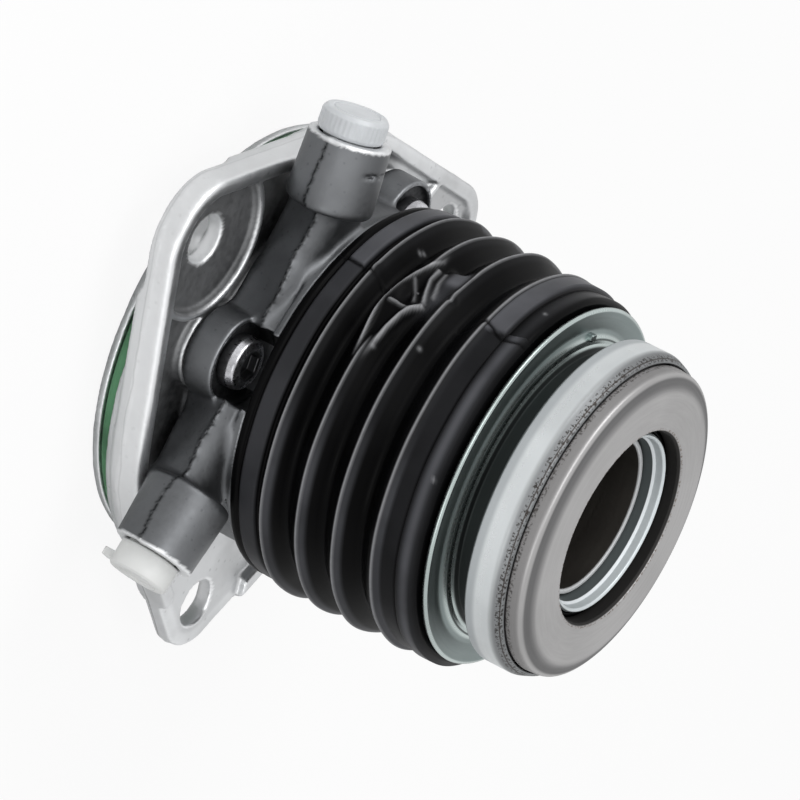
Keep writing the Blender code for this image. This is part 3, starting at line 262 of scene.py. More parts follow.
def put_mesh(name, shape, finish, body, nodes=(), masks=None):
    """Object at the origin for (points in mm, faces), with its material, body and nodes."""
    points, faces = shape
    mesh = bpy.data.meshes.new(name)
    mesh.vertices.add(len(points))
    mesh.vertices.foreach_set("co", (np.asarray(points) * MM).astype(np.float32).ravel())
    corners = np.concatenate([f.ravel() for f in faces]).astype(np.int32)
    sizes = np.concatenate([np.full(len(f), f.shape[1]) for f in faces]).astype(np.int32)
    starts = np.concatenate([[0], np.cumsum(sizes)[:-1]]).astype(np.int32)
    mesh.loops.add(len(corners))
    mesh.loops.foreach_set("vertex_index", corners)
    mesh.polygons.add(len(sizes))
    mesh.polygons.foreach_set("loop_start", starts)
    mesh.polygons.foreach_set("use_smooth", np.ones(len(sizes), bool))
    mesh.update(calc_edges=True)
    mesh.validate()
    for label, values in (masks or {}).items():
        layer = mesh.attributes.new(label, "FLOAT", "POINT")
        layer.data.foreach_set("value", np.asarray(values, np.float32))
    mesh.materials.append(finish)
    item = bpy.data.objects.new(name, mesh)
    bpy.context.scene.collection.objects.link(item)
    if body:
        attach(item, body)
    if nodes:
        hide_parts(*nodes)
    return item


def join_shapes(*shapes):
    """One shape from several that don't touch."""
    points, faces, shift = [], [], 0
    for p, f in shapes:
        points.append(p)
        faces += [g + shift for g in f]
        shift += len(p)
    return np.concatenate(points), faces


def turned_to(shape, origin, across, up, along):
    """The shape with its X, Y and Z laid along three directions from an origin."""
    points, faces = shape
    matrix = np.array([across, up, along], float)
    return points @ matrix + np.array(origin, float), faces


# places and sizes, in mm

# ears as (direction in degrees, end radius); the middle one has the spotface
EARS = ((-104.6, 11.3), (15.4, 8.0), (135.4, 9.0))
SPOTFACED = 1
BOLT_CIRCLE = 46.0
BOLT_HOLE = 4.35
SCREWS = (-83.0, 174.0, 45.5)
SCREW_CIRCLE = 29.8
SCREW_HOLE = 2.6
# ports as (direction in degrees, offset to the side, reach and foot along the direction)
PORTS = {"upper": (197.4, 21.8, 45.7, 33.6), "lower": (-11.1, -22.6, 43.2, 31.0)}
PORT_RADIUS = 7.45
PORT_TAPER = 0.5
# radius and depth
PORT_SOCKET = (4.65, 10.4)
PORT_MOUTH = (5.2, 1.5)

# heights and radii of the flange
FLANGE_BACK = 6.5
FLANGE_TOP = 12.8
FLANGE_SEAM = 8.8
FLANGE_RADIUS = 42.0
HUB_RADIUS = 41.4
SPIGOT_RADIUS = 38.7
GROOVE_HEIGHT = 3.05
GROOVE_FLOOR = 36.5
POCKET_FLOOR = 10.9
SEAT_TOP = 12.6
SEAT_RADIUS = 29.8
RIB_TOP = 12.75
RIB_CIRCLE = 13.3

# heights and radii of the body
BODY_FOOT = 12.85
BODY_RADIUS = 31.2
BODY_BORE = 24.1
RIM_RADIUS = 32.6
PART_LINE = 20.6
BAR_FRONT = -32.6
LOBE_RADIUS = 8.0
LOBE_TOP = 18.5
# radius and floor
SCREW_WELL = (6.9, 17.2)

# depth for which the crushed place of the bellows is drawn
DENT = 1.6


def on_circle(radius, degrees):
    """Point on a circle about the axis."""
    return radius * math.cos(math.radians(degrees)), radius * math.sin(math.radians(degrees))


def port_axes(name):
    """End point, across, up and along directions of a port."""
    angle, offset, reach, _ = PORTS[name]
    dx, dy = math.cos(math.radians(angle)), math.sin(math.radians(angle))
    end = (dx * reach - dy * offset, dy * reach + dx * offset, PART_LINE)
    return end, (-dy, dx, 0.0), (0.0, 0.0, 1.0), (dx, dy, 0.0)


def ripple(x, y, z):
    """Slow unevenness of a cast skin, about -1 to 1."""
    return (np.sin(0.61 * x + 1.3) * np.sin(0.53 * y - 0.4) * np.sin(0.71 * z + 0.8)
            + 0.5 * np.sin(1.37 * x - 0.6) * np.sin(1.21 * y + 2.1) * np.sin(1.53 * z))


def flange_outline(x, y):
    """Distance to the flange's outline: the least of the distances to a round body, to the
    round ends of the ears and to the tangents that join each end to the body."""
    nearest = None
    for angle, radius in EARS:
        cx, cy = on_circle(1.0, angle)
        along = x * cx + y * cy
        side = np.abs(-x * cy + y * cx)
        lean = (FLANGE_RADIUS - radius) / BOLT_CIRCLE
        rise = math.sqrt(1 - lean * lean)
        k = side * -lean + along * rise
        to_body = np.hypot(side, along) - FLANGE_RADIUS
        to_ear = np.hypot(side, along - BOLT_CIRCLE) - radius
        to_tangent = side * rise + along * lean - FLANGE_RADIUS
        d = np.where(k < 0, to_body, np.where(k > BOLT_CIRCLE * rise, to_ear, to_tangent))
        nearest = d if nearest is None else np.minimum(nearest, d)
    return nearest


def flange_field(x, y, z):
    """Distance-like field of the adapter flange casting: plate, hub and spigot joined, less
    the pocket between ribs and seats, the spotface, the reliefs and holes, the ring's
    groove, the rear recess and the bore for the shaft seal."""
    r = np.hypot(x, y)
    angle = np.arctan2(y, x)
    outline = flange_outline(x, y)
    seam = FLANGE_SEAM + 0.35 * np.sin(3 * angle + 0.5) + 0.2 * np.sin(11 * angle)
    draft = 0.28 - 0.10 * np.abs(z - seam)
    flash = 0.10 * bump(z, seam, 0.25)
    wall = outline - draft - flash
    plate = smooth_max(smooth_max(wall, z - FLANGE_TOP, 1.1), FLANGE_BACK - z, 0.9)
    hub = smooth_max(smooth_max(r - HUB_RADIUS, 5.0 - z, 0.7), z - 10.0, 0.5)
    spigot = smooth_max(smooth_max(r - SPIGOT_RADIUS, 0.04 - z, 0.7), z - 8.0, 0.5)
    solid = smooth_min(smooth_min(plate, hub, 0.4), spigot, 0.3)
    trench = smooth_max(outline + 2.6 + 0.34 * (FLANGE_TOP - z), POCKET_FLOOR - z, 0.8)
    pad = r - SEAT_RADIUS
    for degrees in SCREWS:
        sx, sy = on_circle(SCREW_CIRCLE, degrees)
        pad = smooth_min(pad, np.hypot(x - sx, y - sy) - 7.4, 2.0)
    pad = smooth_max(pad - 0.2 * (SEAT_TOP - z), z - SEAT_TOP, 0.5)
    trench = smooth_max(trench, -pad, 0.6)
    for number, (degrees, _) in enumerate(EARS):
        ex, ey = on_circle(BOLT_CIRCLE, degrees)
        from_hole = np.hypot(x - ex, y - ey)
        if number != SPOTFACED:
            rib = np.abs(from_hole - RIB_CIRCLE) - 0.5 - 0.22 * (RIB_TOP - z)
            rib = smooth_max(rib, z - RIB_TOP, 0.5)
            trench = smooth_max(trench, -rib, 0.5)
    solid = smooth_max(solid, -trench, 0.7)
    for number, (degrees, _) in enumerate(EARS):
        ex, ey = on_circle(BOLT_CIRCLE, degrees)
        from_hole = np.hypot(x - ex, y - ey)
        if number == SPOTFACED:
            spot = smooth_max(from_hole - 12.2, 11.1 - z, 0.5)
            solid = smooth_max(solid, -spot, 0.4)
        relief = smooth_max(from_hole - 12.4 - (7.9 - z), z - 7.9, 0.4)
        relief = smooth_max(relief, 41.45 - r, 0.4)
        solid = smooth_max(solid, -relief, 0.4)
        chamfer = np.maximum(0.0, z - 10.8) * (0.9 if number == SPOTFACED else 0.15)
        solid = smooth_max(solid, -(from_hole - BOLT_HOLE - chamfer), 0.25)
    for degrees in SCREWS:
        sx, sy = on_circle(SCREW_CIRCLE, degrees)
        solid = smooth_max(solid, -(np.hypot(x - sx, y - sy) - SCREW_HOLE), 0.2)
    groove = smooth_max(GROOVE_FLOOR - r, np.abs(z - GROOVE_HEIGHT) - 1.45, 0.3)
    solid = smooth_max(solid, -groove, 0.25)
    recess = smooth_max(smooth_max(r - 34.0, z - 5.5, 0.8), 23.0 - r, 0.8)
    solid = smooth_max(solid, -recess, 0.5)
    seat = smooth_max(r - 19.2, z - 9.4, 0.3)
    solid = smooth_max(solid, -smooth_min(seat, r - 14.2, 0.2), 0.4)
    boss_end = smooth_max(r - 23.4, z - 1.5, 0.3)
    solid = smooth_max(solid, -boss_end, 0.4)
    return solid + 0.03 * ripple(x, y, z)


def port_field(name, x, y, z):
    """Distance to a port boss, a tapered cylinder cut off at its reach, distance to its socket
    with the wider mouth, and the place along, beside and above the port's axis."""
    _, offset, reach, foot = PORTS[name]
    dx, dy = port_axes(name)[3][:2]
    along = x * dx + y * dy
    side = -x * dy + y * dx - offset
    height = z - PART_LINE - 0.15
    away = np.sqrt(side * side + height * height + 1e-9)
    share = np.clip((along - foot) / (reach - foot), 0.0, 1.0)
    boss = away - (PORT_RADIUS - PORT_TAPER * share)
    boss = smooth_max(smooth_max(boss, along - reach, 0.4), foot - along, 1.6)
    socket = smooth_max(away - PORT_SOCKET[0], reach - PORT_SOCKET[1] - along, 0.3)
    mouth = smooth_max(away - PORT_MOUTH[0], reach - PORT_MOUTH[1] - along, 0.3)
    return boss, smooth_min(socket, mouth, 0.2), along, side, height


def part_line(x):
    """Height of the wavering line where the halves of the body's mould met."""
    return PART_LINE + 0.22 * np.sin(0.55 * x + 0.7) + 0.07 * np.sin(1.3 * x)


def body_field(x, y, z):
    """Distance-like field of the outer part of the cylinder body casting: disc, bellows seat,
    rim, front bar, port bosses and screw lobes joined, the two mould halves offset at the
    parting line, less the sockets, screw wells and holes, and the bore."""
    r = np.hypot(x, y)
    line = part_line(x)
    disc = smooth_max(smooth_max(r - BODY_RADIUS, BODY_FOOT - z, 0.5), z - 24.0, 0.4)
    seat = smooth_max(smooth_max(r - 31.25, 29.6 - r, 0.3), z - 30.4, 0.3)
    disc = smooth_min(disc, smooth_max(seat, 22.0 - z, 0.3), 0.3)
    rim = smooth_max(smooth_max(r - RIM_RADIUS, 23.5 - z, 0.4), z - 24.6, 0.4)
    solid = smooth_min(disc, rim, 0.3)
    below = np.maximum(line - z, 0.0)
    over = np.maximum(z - line, 0.0)
    wall = BAR_FRONT + 0.42 * below + 1.05 * over + 0.9 * bump(x, 3.7, 9.0) - y
    bar = smooth_max(smooth_max(wall, np.abs(x + 0.5) - 27.5, 1.2), y + 20.0, 0.8)
    bar = smooth_max(smooth_max(bar, BODY_FOOT - z, 1.0), z - 23.0, 2.6)
    solid = smooth_min(solid, bar, 1.5)
    cuts = None
    for name in PORTS:
        boss, socket, along, side, height = port_field(name, x, y, z)
        solid = smooth_min(solid, boss, 2.6)
        cuts = socket if cuts is None else np.minimum(cuts, socket)
        if name == "upper":
            notch = np.maximum(np.maximum(np.abs(along - 41.5) - 0.25, 6.5 - height), side - 9.0)
            cuts = np.minimum(cuts, smooth_max(notch, 0.6 - np.abs(side), 0.2))
    for degrees in SCREWS:
        sx, sy = on_circle(SCREW_CIRCLE, degrees)
        out = np.hypot(x - sx, y - sy)
        lobe = smooth_max(out - LOBE_RADIUS + 0.05 * (z - 12.9), BODY_FOOT - z, 0.8)
        lobe = smooth_max(lobe, z - LOBE_TOP, 0.5)
        solid = smooth_min(solid, lobe, 1.3)
        cuts = np.minimum(cuts, smooth_max(out - SCREW_WELL[0], SCREW_WELL[1] - z, 0.4))
        cuts = np.minimum(cuts, out - SCREW_HOLE)
    skin = 0.2 * step(-0.5, 0.5, z - line) + 0.1 * bump(z, line, 0.45) * (
        0.6 + 0.4 * np.sin(0.5 * x + 0.4))
    outer = step(-20.0, -26.0, y)
    solid = solid - skin * outer
    solid = smooth_max(solid, -cuts, 0.35)
    solid = smooth_max(solid, -(r - BODY_BORE), 0.3)
    return solid + 0.018 * ripple(x, y, z)


def barrel_profile():
    """Closed section of the body inside the outer casting: web, barrel and bellows seat."""
    return softened([
        (14.8, 17.0, .2), (17.4, 17.0, .2), (17.4, 14.4, .2), (19.3, 14.4, .2),
        (19.3, 13.0, .2), (24.6, 13.0, .2), (24.6, 46.0, .4), (20.8, 46.0, .2),
        (20.0, 45.2, .2), (20.0, 18.6, .3), (14.8, 18.6, .2)], steps=3)


# finishes

def node_group(name, inputs, outputs, build):
    """Shader node group with float sockets, built once; inputs go by name to a default."""
    group = bpy.data.node_groups.get(name)
    if group:
        return group
    group = bpy.data.node_groups.new(name, "ShaderNodeTree")
    for label, value in inputs.items():
        socket = group.interface.new_socket(label, in_out="INPUT",
                                            socket_type="NodeSocketFloat")
        socket.default_value = value
    for label in outputs:
        group.interface.new_socket(label, in_out="OUTPUT", socket_type="NodeSocketFloat")
    source = group.nodes.new("NodeGroupInput")
    sink = group.nodes.new("NodeGroupOutput")
    build(group, source, sink)
    return group


def add(tree, kind, links=None, **settings):
    """Node of a kind with its settings and its inputs, each a value or another socket."""
    node = tree.nodes.new(kind)
    for key, value in settings.items():
        setattr(node, key, value)
    for key, value in (links or {}).items():
        if isinstance(value, bpy.types.NodeSocket):
            tree.links.new(value, node.inputs[key])
        else:
            node.inputs[key].default_value = value
    return node


def math_node(tree, operation, a, b=None, c=None, clamp=False):
    """Math node's output socket."""
    values = {i: v for i, v in enumerate((a, b, c)) if v is not None}
    return add(tree, "ShaderNodeMath", values, operation=operation, use_clamp=clamp).outputs[0]


def mix_colour(tree, factor, a, b):
    """Mix Color node's output socket, from colour a to colour b."""
    node = add(tree, "ShaderNodeMix", data_type="RGBA")
    for index, value in ((0, factor), (6, a), (7, b)):
        if isinstance(value, bpy.types.NodeSocket):
            tree.links.new(value, node.inputs[index])
        else:
            node.inputs[index].default_value = value
    return node.outputs[2]


def mask(tree, name):
    """Socket of a mask that put_mesh wrote on the points."""
    return add(tree, "ShaderNodeAttribute", attribute_name=name).outputs["Fac"]


def times(tree, a, b, clamp=False):
    """Product of two values."""
    return math_node(tree, "MULTIPLY", a, b, clamp=clamp)


def times_plus(tree, value, factor, start):
    """Value times a factor, plus a start value."""
    return math_node(tree, "MULTIPLY_ADD", value, factor, start)


def set_relief(tree, shader, height, distance, strength):
    """Bump node between a height and the shader's normal."""
    node = add(tree, "ShaderNodeBump", {"Height": height, "Distance": distance,
                                        "Strength": strength})
    tree.links.new(node.outputs[0], shader.inputs["Normal"])


def ramp(tree, value, low, high):
    """Value spread from low..high to 0..1."""
    node = add(tree, "ShaderNodeMapRange", {"Value": value, "From Min": low, "From Max": high},
               interpolation_type="SMOOTHSTEP")
    return node.outputs["Result"]


def grain_group():
    """Cast or worn skin: fine grain, pits and slow clouds on object coordinates."""
    def build(tree, source, sink):
        place = add(tree, "ShaderNodeTexCoord").outputs["Object"]
        fine = add(tree, "ShaderNodeTexNoise", {"Vector": place, "Detail": 4.0,
                                                "Roughness": 0.6})
        tree.links.new(source.outputs["Fine Scale"], fine.inputs["Scale"])
        slow = add(tree, "ShaderNodeTexNoise", {"Vector": place, "Detail": 3.0})
        tree.links.new(source.outputs["Cloud Scale"], slow.inputs["Scale"])
        pits = add(tree, "ShaderNodeTexVoronoi", {"Vector": place})
        tree.links.new(source.outputs["Pit Scale"], pits.inputs["Scale"])
        tree.links.new(fine.outputs[0], sink.inputs["Fine"])
        tree.links.new(ramp(tree, slow.outputs[0], 0.35, 0.65), sink.inputs["Clouds"])
        tree.links.new(ramp(tree, pits.outputs[0], 0.22, 0.05), sink.inputs["Pits"])
    return node_group("cast_grain", {"Fine Scale": 900.0, "Cloud Scale": 60.0,
                                     "Pit Scale": 500.0}, ("Fine", "Clouds", "Pits"), build)


def rings_group():
    """Turning marks: noise that changes with radius and height but hardly with angle."""
    def build(tree, source, sink):
        place = add(tree, "ShaderNodeTexCoord").outputs["Object"]
        parts = add(tree, "ShaderNodeSeparateXYZ", {0: place})
        x, y, z = parts.outputs
        radius = math_node(tree, "SQRT", math_node(tree, "ADD", times(tree, x, x),
                                                   times(tree, y, y)))
        angle = math_node(tree, "ARCTAN2", y, x)
        slow = times(tree, math_node(tree, "SINE", angle), 0.0015)
        spot = add(tree, "ShaderNodeCombineXYZ", {0: radius, 1: slow, 2: z})
        marks = add(tree, "ShaderNodeTexNoise", {"Vector": spot.outputs[0], "Detail": 4.0})
        tree.links.new(source.outputs["Scale"], marks.inputs["Scale"])
        tree.links.new(marks.outputs[0], sink.inputs["Marks"])
        tree.links.new(radius, sink.inputs["Radius"])
        tree.links.new(z, sink.inputs["Height"])
    return node_group("turning_marks", {"Scale": 2500.0}, ("Marks", "Radius", "Height"), build)


def start_material(name, colour, roughness, metallic):
    """Material with a Principled shader; colour is (r, g, b)."""
    made = bpy.data.materials.new(name)
    made.use_nodes = True
    shader = made.node_tree.nodes["Principled BSDF"]
    shader.inputs["Base Color"].default_value = (*colour, 1.0)
    shader.inputs["Roughness"].default_value = roughness
    shader.inputs["Metallic"].default_value = metallic
    return made, made.node_tree, shader


def placed(tree, group, **scales):
    """A shared effect's node with its own scales, such as fine_scale for Fine Scale."""
    node = add(tree, "ShaderNodeGroup", node_tree=group)
    for key, value in scales.items():
        node.inputs[key.replace("_", " ").title()].default_value = value
    return node


def shade(colour, factor):
    """Colour times a factor, with alpha 1."""
    return tuple(min(1.0, c * factor) for c in colour[:3]) + (1.0,)


# tones that the masks of the castings and the bellows lay on
SHADOW_DARK = (0.03, 0.031, 0.033, 1.0)
SHADOW_LIGHT = (0.088, 0.09, 0.094, 1.0)
# tone of fresh cuts, also used as painted light on the flange's front wall
CUT_AND_PAINTED_LIGHT = (0.82, 0.83, 0.84, 1.0)
# painted sheen on the bellows' flanks, and painted highlights on its crests and creases mixed
# with a few specks of dust
RUBBER_SHEEN = (0.105, 0.107, 0.118, 1.0)
RUBBER_HIGHLIGHT_AND_DUST = (0.42, 0.425, 0.44, 1.0)


# flange's painted parting line, in metres: how far it swings, and where it fades and is full
SEAM_SWING = 0.0016
SEAM_FADE = (0.00022, 0.00008)


def seam_line(tree, height):
    """Thin line round the side wall at a height in metres, wavering with slow noise."""
    place = add(tree, "ShaderNodeTexCoord").outputs["Object"]
    parts = add(tree, "ShaderNodeSeparateXYZ", {0: place})
    wave = add(tree, "ShaderNodeTexNoise", {"Vector": place, "Scale": 90.0})
    shift = times_plus(tree, wave.outputs[0], SEAM_SWING, height - SEAM_SWING / 2)
    away = math_node(tree, "ABSOLUTE", math_node(tree, "SUBTRACT", parts.outputs[2], shift))
    return ramp(tree, away, *SEAM_FADE)


def cast_material(name, colour, roughness, edge_gain, grain, bump_height, seam_height=None):
    """Cast aluminium: grain and pits in the relief, cloudy tone and masks for rubbed edges,
    crack, worn front, shadowed pockets, and fresh cuts that on the flange also carry painted
    light on the front wall, with a thin parting line if asked."""
    made, tree, shader = start_material(name, colour, roughness, 1.0)
    skin = placed(tree, grain_group(), fine_scale=grain, cloud_scale=grain / 14,
                  pit_scale=grain * 0.6)
    fine, clouds, pits = (skin.outputs[key] for key in ("Fine", "Clouds", "Pits"))
    edge, shadow = mask(tree, "edge"), mask(tree, "shadow")
    tone = mix_colour(tree, clouds, shade(colour, 0.82), shade(colour, 1.12))
    tone = mix_colour(tree, times(tree, pits, 0.35), tone, shade(colour, 0.45))
    rubbed = times(tree, edge, math_node(tree, "ADD", fine, 0.45), clamp=True)
    tone = mix_colour(tree, rubbed, tone, shade(colour, edge_gain))
    worn = times(tree, mask(tree, "front"), ramp(tree, fine, 0.2, 0.8))
    tone = mix_colour(tree, times(tree, worn, 0.25), tone, shade(colour, 1.3))
    cracked = times(tree, mask(tree, "crack"), ramp(tree, fine, 0.3, 0.5))
    tone = mix_colour(tree, cracked, tone, shade(colour, 0.06))
    if seam_height is not None:
        side = times(tree, mask(tree, "side"), 0.5)
        line = times(tree, seam_line(tree, seam_height), side)
        tone = mix_colour(tree, line, tone, shade(colour, 0.25))
    low = mix_colour(tree, ramp(tree, fine, 0.3, 0.7), SHADOW_DARK, SHADOW_LIGHT)
    tone = mix_colour(tree, times(tree, shadow, times_plus(tree, clouds, 0.12, 0.86)), tone, low)
    # fresh cuts, and on the flange painted light on the front wall, go towards the cut tone
    fresh = times(tree, mask(tree, "cut"), times_plus(tree, fine, 0.3, 0.7))
    tone = mix_colour(tree, fresh, tone, CUT_AND_PAINTED_LIGHT)
    tree.links.new(tone, shader.inputs["Base Color"])
    rough = times_plus(tree, fine, 0.25, roughness - 0.12)
    rough = times_plus(tree, shadow, 0.2, rough)
    rough = times_plus(tree, edge, -0.08, rough)
    tree.links.new(rough, shader.inputs["Roughness"])
    height = math_node(tree, "SUBTRACT", fine, times(tree, pits, 0.5))
    set_relief(tree, shader, height, bump_height, 0.5)
    return made


def band(tree, value, edges):
    """1 between the middle two of four rising edges in mm, 0 outside the outer two."""
    e = [edge * MM for edge in edges]
    return times(tree, ramp(tree, value, e[0], e[1]), ramp(tree, value, e[3], e[2]))


def turned_metal(name, colour, roughness, marks=0.25, scale=2500.0, cloud=0.15, metallic=1.0,
                 zones=()):
    """Plated or ground metal with turning marks and faint clouds. A zone is (radius edges,
    height edges, colour, share, speckle): a tone laid on where radius and height agree."""
    made, tree, shader = start_material(name, colour, roughness, metallic)
    turning = placed(tree, rings_group(), scale=scale)
    skin = placed(tree, grain_group(), cloud_scale=45.0, fine_scale=2200.0)
    tone = mix_colour(tree, skin.outputs["Clouds"], shade(colour, 1 - cloud),
                      shade(colour, 1 + cloud * 0.6))
    tone = mix_colour(tree, times(tree, turning.outputs["Marks"], marks), tone,
                      shade(colour, 0.6))
    dull = 0.0
    for radii, heights, zone_colour, share, speckle in zones:
        place = times(tree, band(tree, turning.outputs["Radius"], radii),
                      band(tree, turning.outputs["Height"], heights))
        if speckle:
            place = times(tree, place, ramp(tree, skin.outputs["Fine"], 0.48, 0.6))
        place = times(tree, place, share)
        tone = mix_colour(tree, place, tone, zone_colour + (1.0,))
        dull = math_node(tree, "MAXIMUM", place, dull)
    tree.links.new(tone, shader.inputs["Base Color"])
    rough = times_plus(tree, turning.outputs["Marks"], 0.18, roughness - 0.09)
    if zones:
        rough = times_plus(tree, dull, 0.25, rough)
    rough = times_plus(tree, skin.outputs["Fine"], 0.1,
                       math_node(tree, "SUBTRACT", rough, 0.05))
    tree.links.new(rough, shader.inputs["Roughness"])
    set_relief(tree, shader, turning.outputs["Marks"], 0.00001, 0.4)
    return made


def rubber_material(name, colour, roughness):
    """Moulded black rubber: cloudy tone, painted highlights with specks of dust on the crests and
    a painted sheen on the flanks by mask, and fine flow streaks in the relief."""
    made, tree, shader = start_material(name, colour, roughness, 0.0)
    shader.inputs["Specular IOR Level"].default_value = 0.04
    skin = placed(tree, grain_group(), fine_scale=700.0, cloud_scale=70.0)
    turning = placed(tree, rings_group(), scale=1100.0)
    tone = mix_colour(tree, skin.outputs["Clouds"], shade(colour, 0.7), shade(colour, 1.5))
    blur = times_plus(tree, skin.outputs["Clouds"], 0.35, 0.75)
    tone = mix_colour(tree, times(tree, mask(tree, "sheen"), blur, clamp=True), tone,
                      RUBBER_SHEEN)
    streak = times_plus(tree, skin.outputs["Fine"], 0.5, 0.65)
    # painted highlights and specks of dust on the crests and creases
    tone = mix_colour(tree, times(tree, mask(tree, "edge"), streak, clamp=True), tone,
                      RUBBER_HIGHLIGHT_AND_DUST)
    tree.links.new(tone, shader.inputs["Base Color"])
    tree.links.new(times_plus(tree, skin.outputs["Clouds"], 0.1, roughness - 0.05),
                   shader.inputs["Roughness"])
    height = times_plus(tree, turning.outputs["Marks"], 0.7,
                        times(tree, skin.outputs["Fine"], 0.4))
    set_relief(tree, shader, height, 0.00004, 0.35)
    return made


def plastic_material(name, colour, roughness, transmission, scatter):
    """Milky transport plastic: soft scattering, faint clouds and moulding ripple."""
    made, tree, shader = start_material(name, colour, roughness, 0.0)
    shader.inputs["Subsurface Weight"].default_value = scatter
    shader.inputs["Subsurface Radius"].default_value = (0.004, 0.004, 0.004)
    shader.inputs["Subsurface Scale"].default_value = 1.0
    shader.inputs["Transmission Weight"].default_value = transmission
    shader.inputs["IOR"].default_value = 1.49
    skin = placed(tree, grain_group(), fine_scale=500.0, cloud_scale=180.0)
    tone = mix_colour(tree, skin.outputs["Clouds"], shade(colour, 0.94), shade(colour, 1.03))
    tree.links.new(tone, shader.inputs["Base Color"])
    tree.links.new(times_plus(tree, skin.outputs["Fine"], 0.15, roughness - 0.07),
                   shader.inputs["Roughness"])
    set_relief(tree, shader, skin.outputs["Fine"], 0.00004, 0.3)
    return made


# settings

def colour_prop(name, text, value):
    """Colour property."""
    return bpy.props.FloatVectorProperty(name=name, description=text, default=value, size=3,
                                         min=0.0, max=1.0, subtype="COLOR")


def length_prop(name, text, value):
    """Length property, in metres."""
    return bpy.props.FloatProperty(name=name, description=text, default=value * MM,
                                   unit="LENGTH", precision=5)


class CylinderFinish(bpy.types.PropertyGroup):
    """Colours of the castings, rubber, plated steel and caps."""
    bright: colour_prop("Flange", "Bright cast aluminium", (0.62, 0.63, 0.64))
    dark: colour_prop("Cylinder body", "Dull cast aluminium", (0.145, 0.15, 0.157))
    rubber: colour_prop("Rubber", "Bellows and seals", (0.0016, 0.0016, 0.0018))
    zinc: colour_prop("Zinc plating", "Spring cover", (0.44, 0.50, 0.49))
    ground: colour_prop("Ground steel", "Face of the thrust ring", (0.385, 0.38, 0.38))
    ring: colour_prop("Flange ring", "Green sealing ring", (0.085, 0.20, 0.11))
    cap: colour_prop("Upper cap", "Milky cap", (0.56, 0.58, 0.60))
    plug: colour_prop("Lower plug", "Half clear plug", (0.78, 0.79, 0.78))


class CastingSizes(bpy.types.PropertyGroup):
    """Fineness of the two castings."""
    flange_cell: length_prop("Flange cell", "Grid step of the flange's skin", 0.5)
    body_cell: length_prop("Body cell", "Grid step of the body's skin", 0.42)


class BellowsSizes(bpy.types.PropertyGroup):
    """Form of the rubber bellows."""
    crest: length_prop("Crest radius", "Outer radius of the folds", 34.7)
    valley: length_prop("Valley radius", "Outer radius between the folds", 31.3)
    wall: length_prop("Wall", "Thickness of the rubber", 1.15)
    dent: length_prop("Dent", "Depth of the crushed place", DENT)
    fine: bpy.props.FloatProperty(name="Fine", description="Degrees a column in the dent",
                                  default=0.45, min=0.1)


class BearingSizes(bpy.types.PropertyGroup):
    """Form of the release bearing."""
    face: length_prop("Face height", "Height of the thrust face", 80.1)
    hole: length_prop("Hole radius", "Hole in the thrust ring", 17.3)
    around: bpy.props.IntProperty(name="Around", description="Columns round the axis",
                                  default=200, min=24)


class StudioSettings(bpy.types.PropertyGroup):
    """Camera and lights."""
    lens: bpy.props.FloatProperty(name="Lens", description="Focal length in millimetres",
                                  default=225.0, min=1.0)
    level: bpy.props.FloatProperty(name="Fill", description="Strength of the soft surround",
                                   default=0.5, min=0.0)
    key: bpy.props.FloatProperty(name="Key light", description="Power of the large lamp",
                                 default=3.6, min=0.0)


# zones of the turned finishes: radius edges, height edges, tone, share, speckled or not
ANY = (-900.0, -899.0, 900.0, 901.0)
COVER_ZONES = (
    # collar in the shell's shade, painted shade in the flange's hollow and at the collar's foot
    ((24.0, 24.2, 26.0, 26.3), (64.7, 65.0, 70.0, 70.2), (0.012, 0.014, 0.014), 0.97, 0),
    ((27.4, 28.0, 31.6, 31.9), (60.0, 60.1, 65.0, 65.1), (0.16, 0.195, 0.195), 0.75, 0),
    ((26.75, 26.85, 27.05, 27.2), (60.0, 60.1, 66.0, 66.1), (0.03, 0.04, 0.04), 0.8, 0))
SHELL_ZONES = (
    # painted dark reflection on the shoulder, speckled crimp, crimp line, painted shade on the
    # lower round and in the mouth
    (ANY, (73.7, 75.0, 79.0, 80.0), (0.17, 0.175, 0.18), 0.9, 0),
    (ANY, (75.0, 75.3, 76.2, 76.4), (0.03, 0.025, 0.022), 0.9, 1),
    (ANY, (75.75, 75.85, 75.95, 76.05), (0.04, 0.032, 0.028), 0.8, 0),
    (ANY, (69.3, 69.8, 70.6, 71.6), (0.36, 0.385, 0.40), 0.7, 0),
    (ANY, (60.0, 61.0, 69.35, 69.6), (0.05, 0.05, 0.05), 0.9, 0))
RACE_ZONES = (
    # shaded bore, painted highlight ring on the lip's step
    ((14.0, 14.1, 15.15, 15.3), (60.0, 61.0, 76.15, 76.3), (0.05, 0.062, 0.063), 0.95, 0),
    ((14.0, 14.1, 15.6, 15.7), (76.1, 76.25, 76.5, 76.65), (0.75, 0.78, 0.8), 0.8, 0))
THRUST_ZONES = (
    # painted dark reflection on a ring before the round, painted shade on the round, speckled
    # edge, black bore, rusty bore edge
    ((24.0, 25.8, 26.5, 27.1), ANY, (0.10, 0.10, 0.102), 0.8, 0),
    ((27.0, 27.2, 40.0, 41.0), (70.0, 70.1, 78.0, 79.0), (0.24, 0.235, 0.235), 0.75, 0),
    ((26.9, 27.3, 40.0, 41.0), (76.3, 76.4, 77.0, 77.3), (0.05, 0.045, 0.04), 0.8, 1),
    ((15.0, 15.1, 17.55, 17.7), ANY, (0.016, 0.015, 0.014), 0.95, 0),
    ((17.6, 17.7, 17.95, 18.1), ANY, (0.12, 0.085, 0.06), 0.7, 1))
SLEEVE_ZONES = (
    # bare end ring
    (ANY, (74.2, 74.4, 90.0, 91.0), (0.6, 0.61, 0.62), 0.9, 0),)


